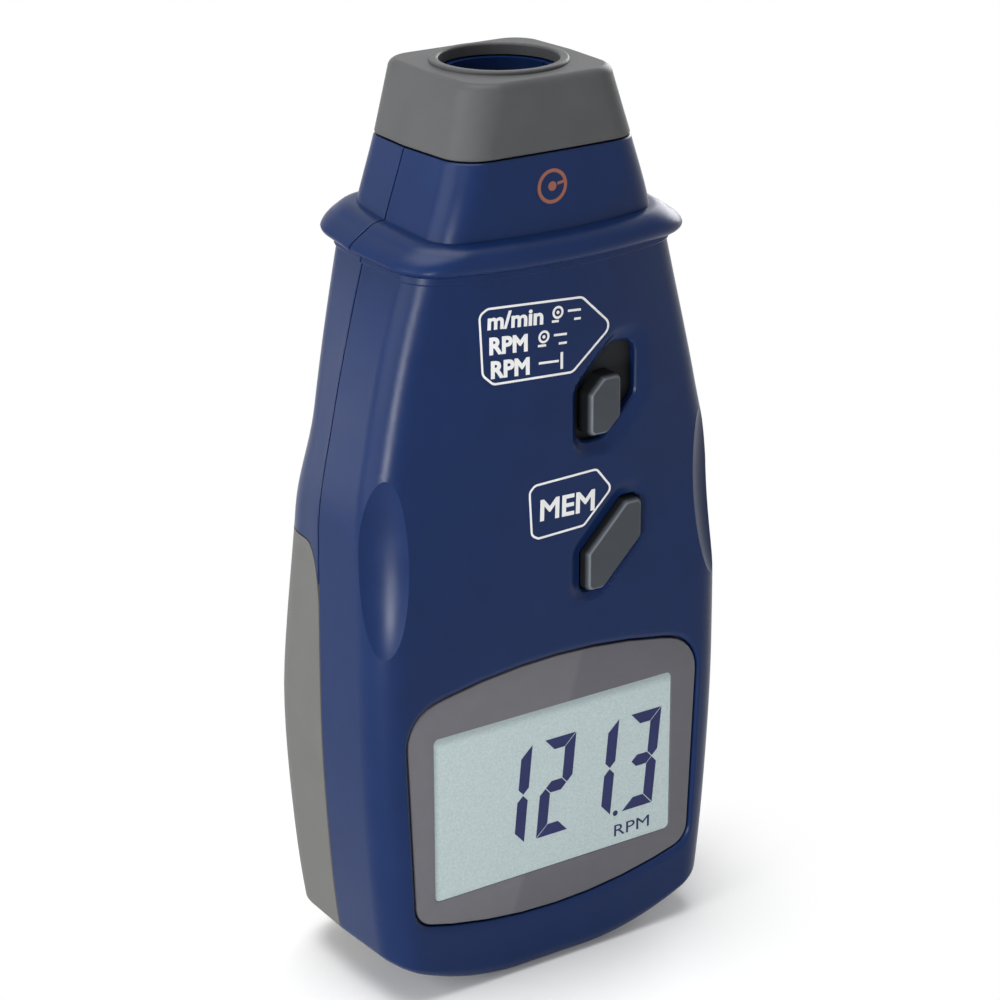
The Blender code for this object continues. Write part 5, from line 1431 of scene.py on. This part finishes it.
def dress(item, material, body, node=None):
    """Paints a new piece, fixes it to its body and hides the part it takes the place of."""
    item.data.materials.clear()
    item.data.materials.append(material)
    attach(item, body)
    if node:
        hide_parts(node)
    return item


def repaint(names, material):
    for name in names:
        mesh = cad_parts[name].data
        mesh.materials.clear()
        mesh.materials.append(material)


def main():
    blue = surface("case_blue", (0.0038, 0.0145, 0.0610), 0.32, grain=0.04, specular=0.14)
    cover_grey = surface("cover_grey", (0.092, 0.092, 0.089), 0.5, specular=0.12)
    cap_grey = surface("cap_grey", (0.064, 0.065, 0.067), 0.42, specular=0.12)
    key_grey = key_surface()
    shutter_black = surface("shutter_black", (0.010, 0.011, 0.013), 0.5, specular=0.12)
    black = surface("black_plastic", (0.020, 0.020, 0.021), 0.5, specular=0.35)
    window = surface("dark_window", (0.020, 0.010, 0.014), 0.12, grain=0.0, specular=0.5)
    figure = surface("display_figure", (0.022, 0.026, 0.085), 0.5, grain=0.0, change=0.08, specular=0.1)
    print_white = surface("print_white", (0.62, 0.62, 0.62), 0.5, grain=0.03, specular=0.2)
    print_brown = surface("print_brown", (0.20, 0.075, 0.050), 0.5, grain=0.03, specular=0.2)
    front = show_front_shell()
    tree = BVHTree.FromObject(front, bpy.context.evaluated_depsgraph_get())
    face, mem_face = make_face_place(tree, -0.0173), make_face_place(tree, -0.0174)
    mem_frame_face = make_face_place(tree, -0.0176)
    dress(front, blue, "case", "front_shell")
    dress(show_rear_shell(), blue, "case", "rear_shell")
    dress(show_battery_cover(), cover_grey, "cover", "battery_cover")
    dress(show_nose_cap(), cap_grey, "case", "nose_cap")
    dress(show_mem_key(), key_grey, "mem", "mem_key")
    dress(show_mode_knob(), key_grey, "knob", "mode_knob")
    dress(show_measure_button(), key_grey, "button", "measure_button")
    bezel, pane = show_display()
    dress(bezel, bezel_surface(), "case", "display_window")
    dress(pane, pane_surface(), "case")
    for index, (label, right) in enumerate((("1", -0.00485), ("2", 0.00442), ("1", 0.01369), ("3", 0.02292))):
        item = shapes_plate("figure_%d" % (index + 1), digit_shapes(label, right, 0.04335), pane_place)
        dress(item, figure, "case")
    dot = shapes_plate("figure_point", [disc_shape((0.01303, 0.0250), 0.00053)], pane_place)
    dress(dot, figure, "case")
    dress(word("figure_unit", "RPM", (0.01283, 0.0204), (0.02055, 0.0204), (0.0, 0.0022), pane_place), figure,
          "case")
    marks = [
        line_loop("mode_frame", [(-.01512, .11248), (-.01569, .12276), (-.01411, .12362), (.00466, .12237),
                                 (.01083, .11648), (.00279, .10972), (-.01305, .11059)], 0.0016,
                                 0.00038, face),
        word("mode_m_min", "m/min", (-.01413, .12013), (-.00317, .11919), (0.0001, .00285), face, 0.030),
        word("mode_rpm_1", "RPM", (-.01378, .11586), (-.00624, .11518), (0.0, .00285), face, 0.040),
        word("mode_rpm_2", "RPM", (-.0135, .11174), (-.00585, .1111), (0.0, .00288), face, 0.040),
        line_loop("mem_frame", [(-.0060, .0893), (-.0060, .0903), (-.0050, .0913), (.0077, .0916),
                                (.0109, .0876), (.0051, .0820), (-.0043, .0817), (-.0056, .0825)], 0.0012,
                  0.00038, mem_frame_face),
        word("mem_word", "MEM", (-.00379, .0847), (.00745, .08433), (.00010, .00370), mem_face, 0.022),
    ]
    for item in marks:
        dress(item, print_white, "case")
    signs = []
    for foot in ((-.0014, .1193), (-.0042, .1156)):
        x, z = foot
        signs += [disc_shape((x + .0012, z + .0013), .0011, .0007),
                  disc_shape((x + .0012, z + .0013), .0003, 0, 12),
                  bar_shape((x, z - .0001), (x + .0058, z - .0005), .0004),
                  bar_shape((x + .0032, z + .0012), (x + .0058, z + .0010), .0004)]
    x, z = -.0040, .1115
    signs += [bar_shape((x, z + .0010), (x + .0040, z + .0007), .0004),
              bar_shape((x + .0046, z + .0021), (x + .0046, z - .0008), .0005)]
    dress(shapes_plate("mode_signs", signs, face), print_white, "case")
    x, z = -.0014, .1421
    emblem = [disc_shape((x, z), .0029, .0023), disc_shape((x, z), .0008, 0, 20),
              bar_shape((x + .0010, z + .0003), (x + .0022, z + .0005), .0005)]
    dress(shapes_plate("beam_sign", emblem, face), print_brown, "case")
    repaint(["nose_window"], window)
    repaint(["mode_shutter"], shutter_black)
    repaint(["processor_chip", "filter_capacitor", "mem_plunger", "mem_switch", "measure_plunger",
             "measure_switch", "optics_holder", "photo_sensor"], black)
    repaint(["lcd_panel"], surface("panel_back", (0.40, 0.46, 0.46), 0.35, grain=0.02))
    repaint(["lcd_frame"], surface("frame_white", (0.55, 0.55, 0.53), 0.5))
    repaint(["zebra_strip_upper", "zebra_strip_lower"], surface("strip_rubber", (0.22, 0.22, 0.22), 0.75))
    repaint(["main_board", "optics_board"], board_surface())
    repaint(["laser_module"], brushed("brass_tube", (0.55, 0.38, 0.13), 0.3, (60.0, 60.0, 2600.0)))
    repaint(["laser_lens", "receiver_lens"], surface("lens_red", (0.45, 0.09, 0.09), 0.12, grain=0.0))
    steel = brushed("bright_steel", (0.60, 0.60, 0.59), 0.26)
    repaint(["quartz_crystal", "mode_switch"] + ["battery_spring_%d" % i for i in (1, 2, 3, 4)]
            + ["lower_contact_1", "lower_contact_2", "upper_contact_1", "upper_contact_2",
               "upper_contact_3"], steel)
    repaint(["case_screw_%d" % i for i in (1, 2, 3, 4)] + ["board_screw_1", "board_screw_2"],
            brushed("screw_steel", (0.48, 0.48, 0.50), 0.36, (900.0, 60.0, 900.0)))
    repaint(["battery_%d" % i for i in (1, 2, 3, 4)],
            surface("cell_sleeve", (0.42, 0.28, 0.08), 0.34, grain=0.04, metallic=0.6))
    ground = mesh_object("ground", [(-3, -3, 0), (3, -3, 0), (3, 3, 0), (-3, 3, 0)], [(0, 1, 2, 3)])
    ground.data.materials.append(floor_surface())
    make_world()
    area_light("left_box", (-1.15, 0.10, 0.45), (0, 0, 0.08), 0.9, LEFT_POWER)
    area_light("top_box", (-0.10, 0.05, 1.10), (0, 0, 0.08), 0.8, TOP_POWER)
    area_light("left_strip", (-0.40, -0.29, 0.075), (0, 0, 0.07), 0.11, STRIP_POWER, shape_y=0.13)
    area_light("side_low", (-0.30, 0.36, 0.06), (0, 0, 0.06), 0.14, SIDE_POWER, shape_y=0.09)
    area_light("front_fill", (0.35, -1.30, 0.45), (0, 0, 0.07), 0.9, FRONT_POWER)
    area_light("right_rim", (0.95, 0.55, 0.40), (0, 0, 0.08), 0.6, RIGHT_POWER)
    make_camera()
    view = bpy.context.scene.view_settings
    view.view_transform = "Standard"


main()
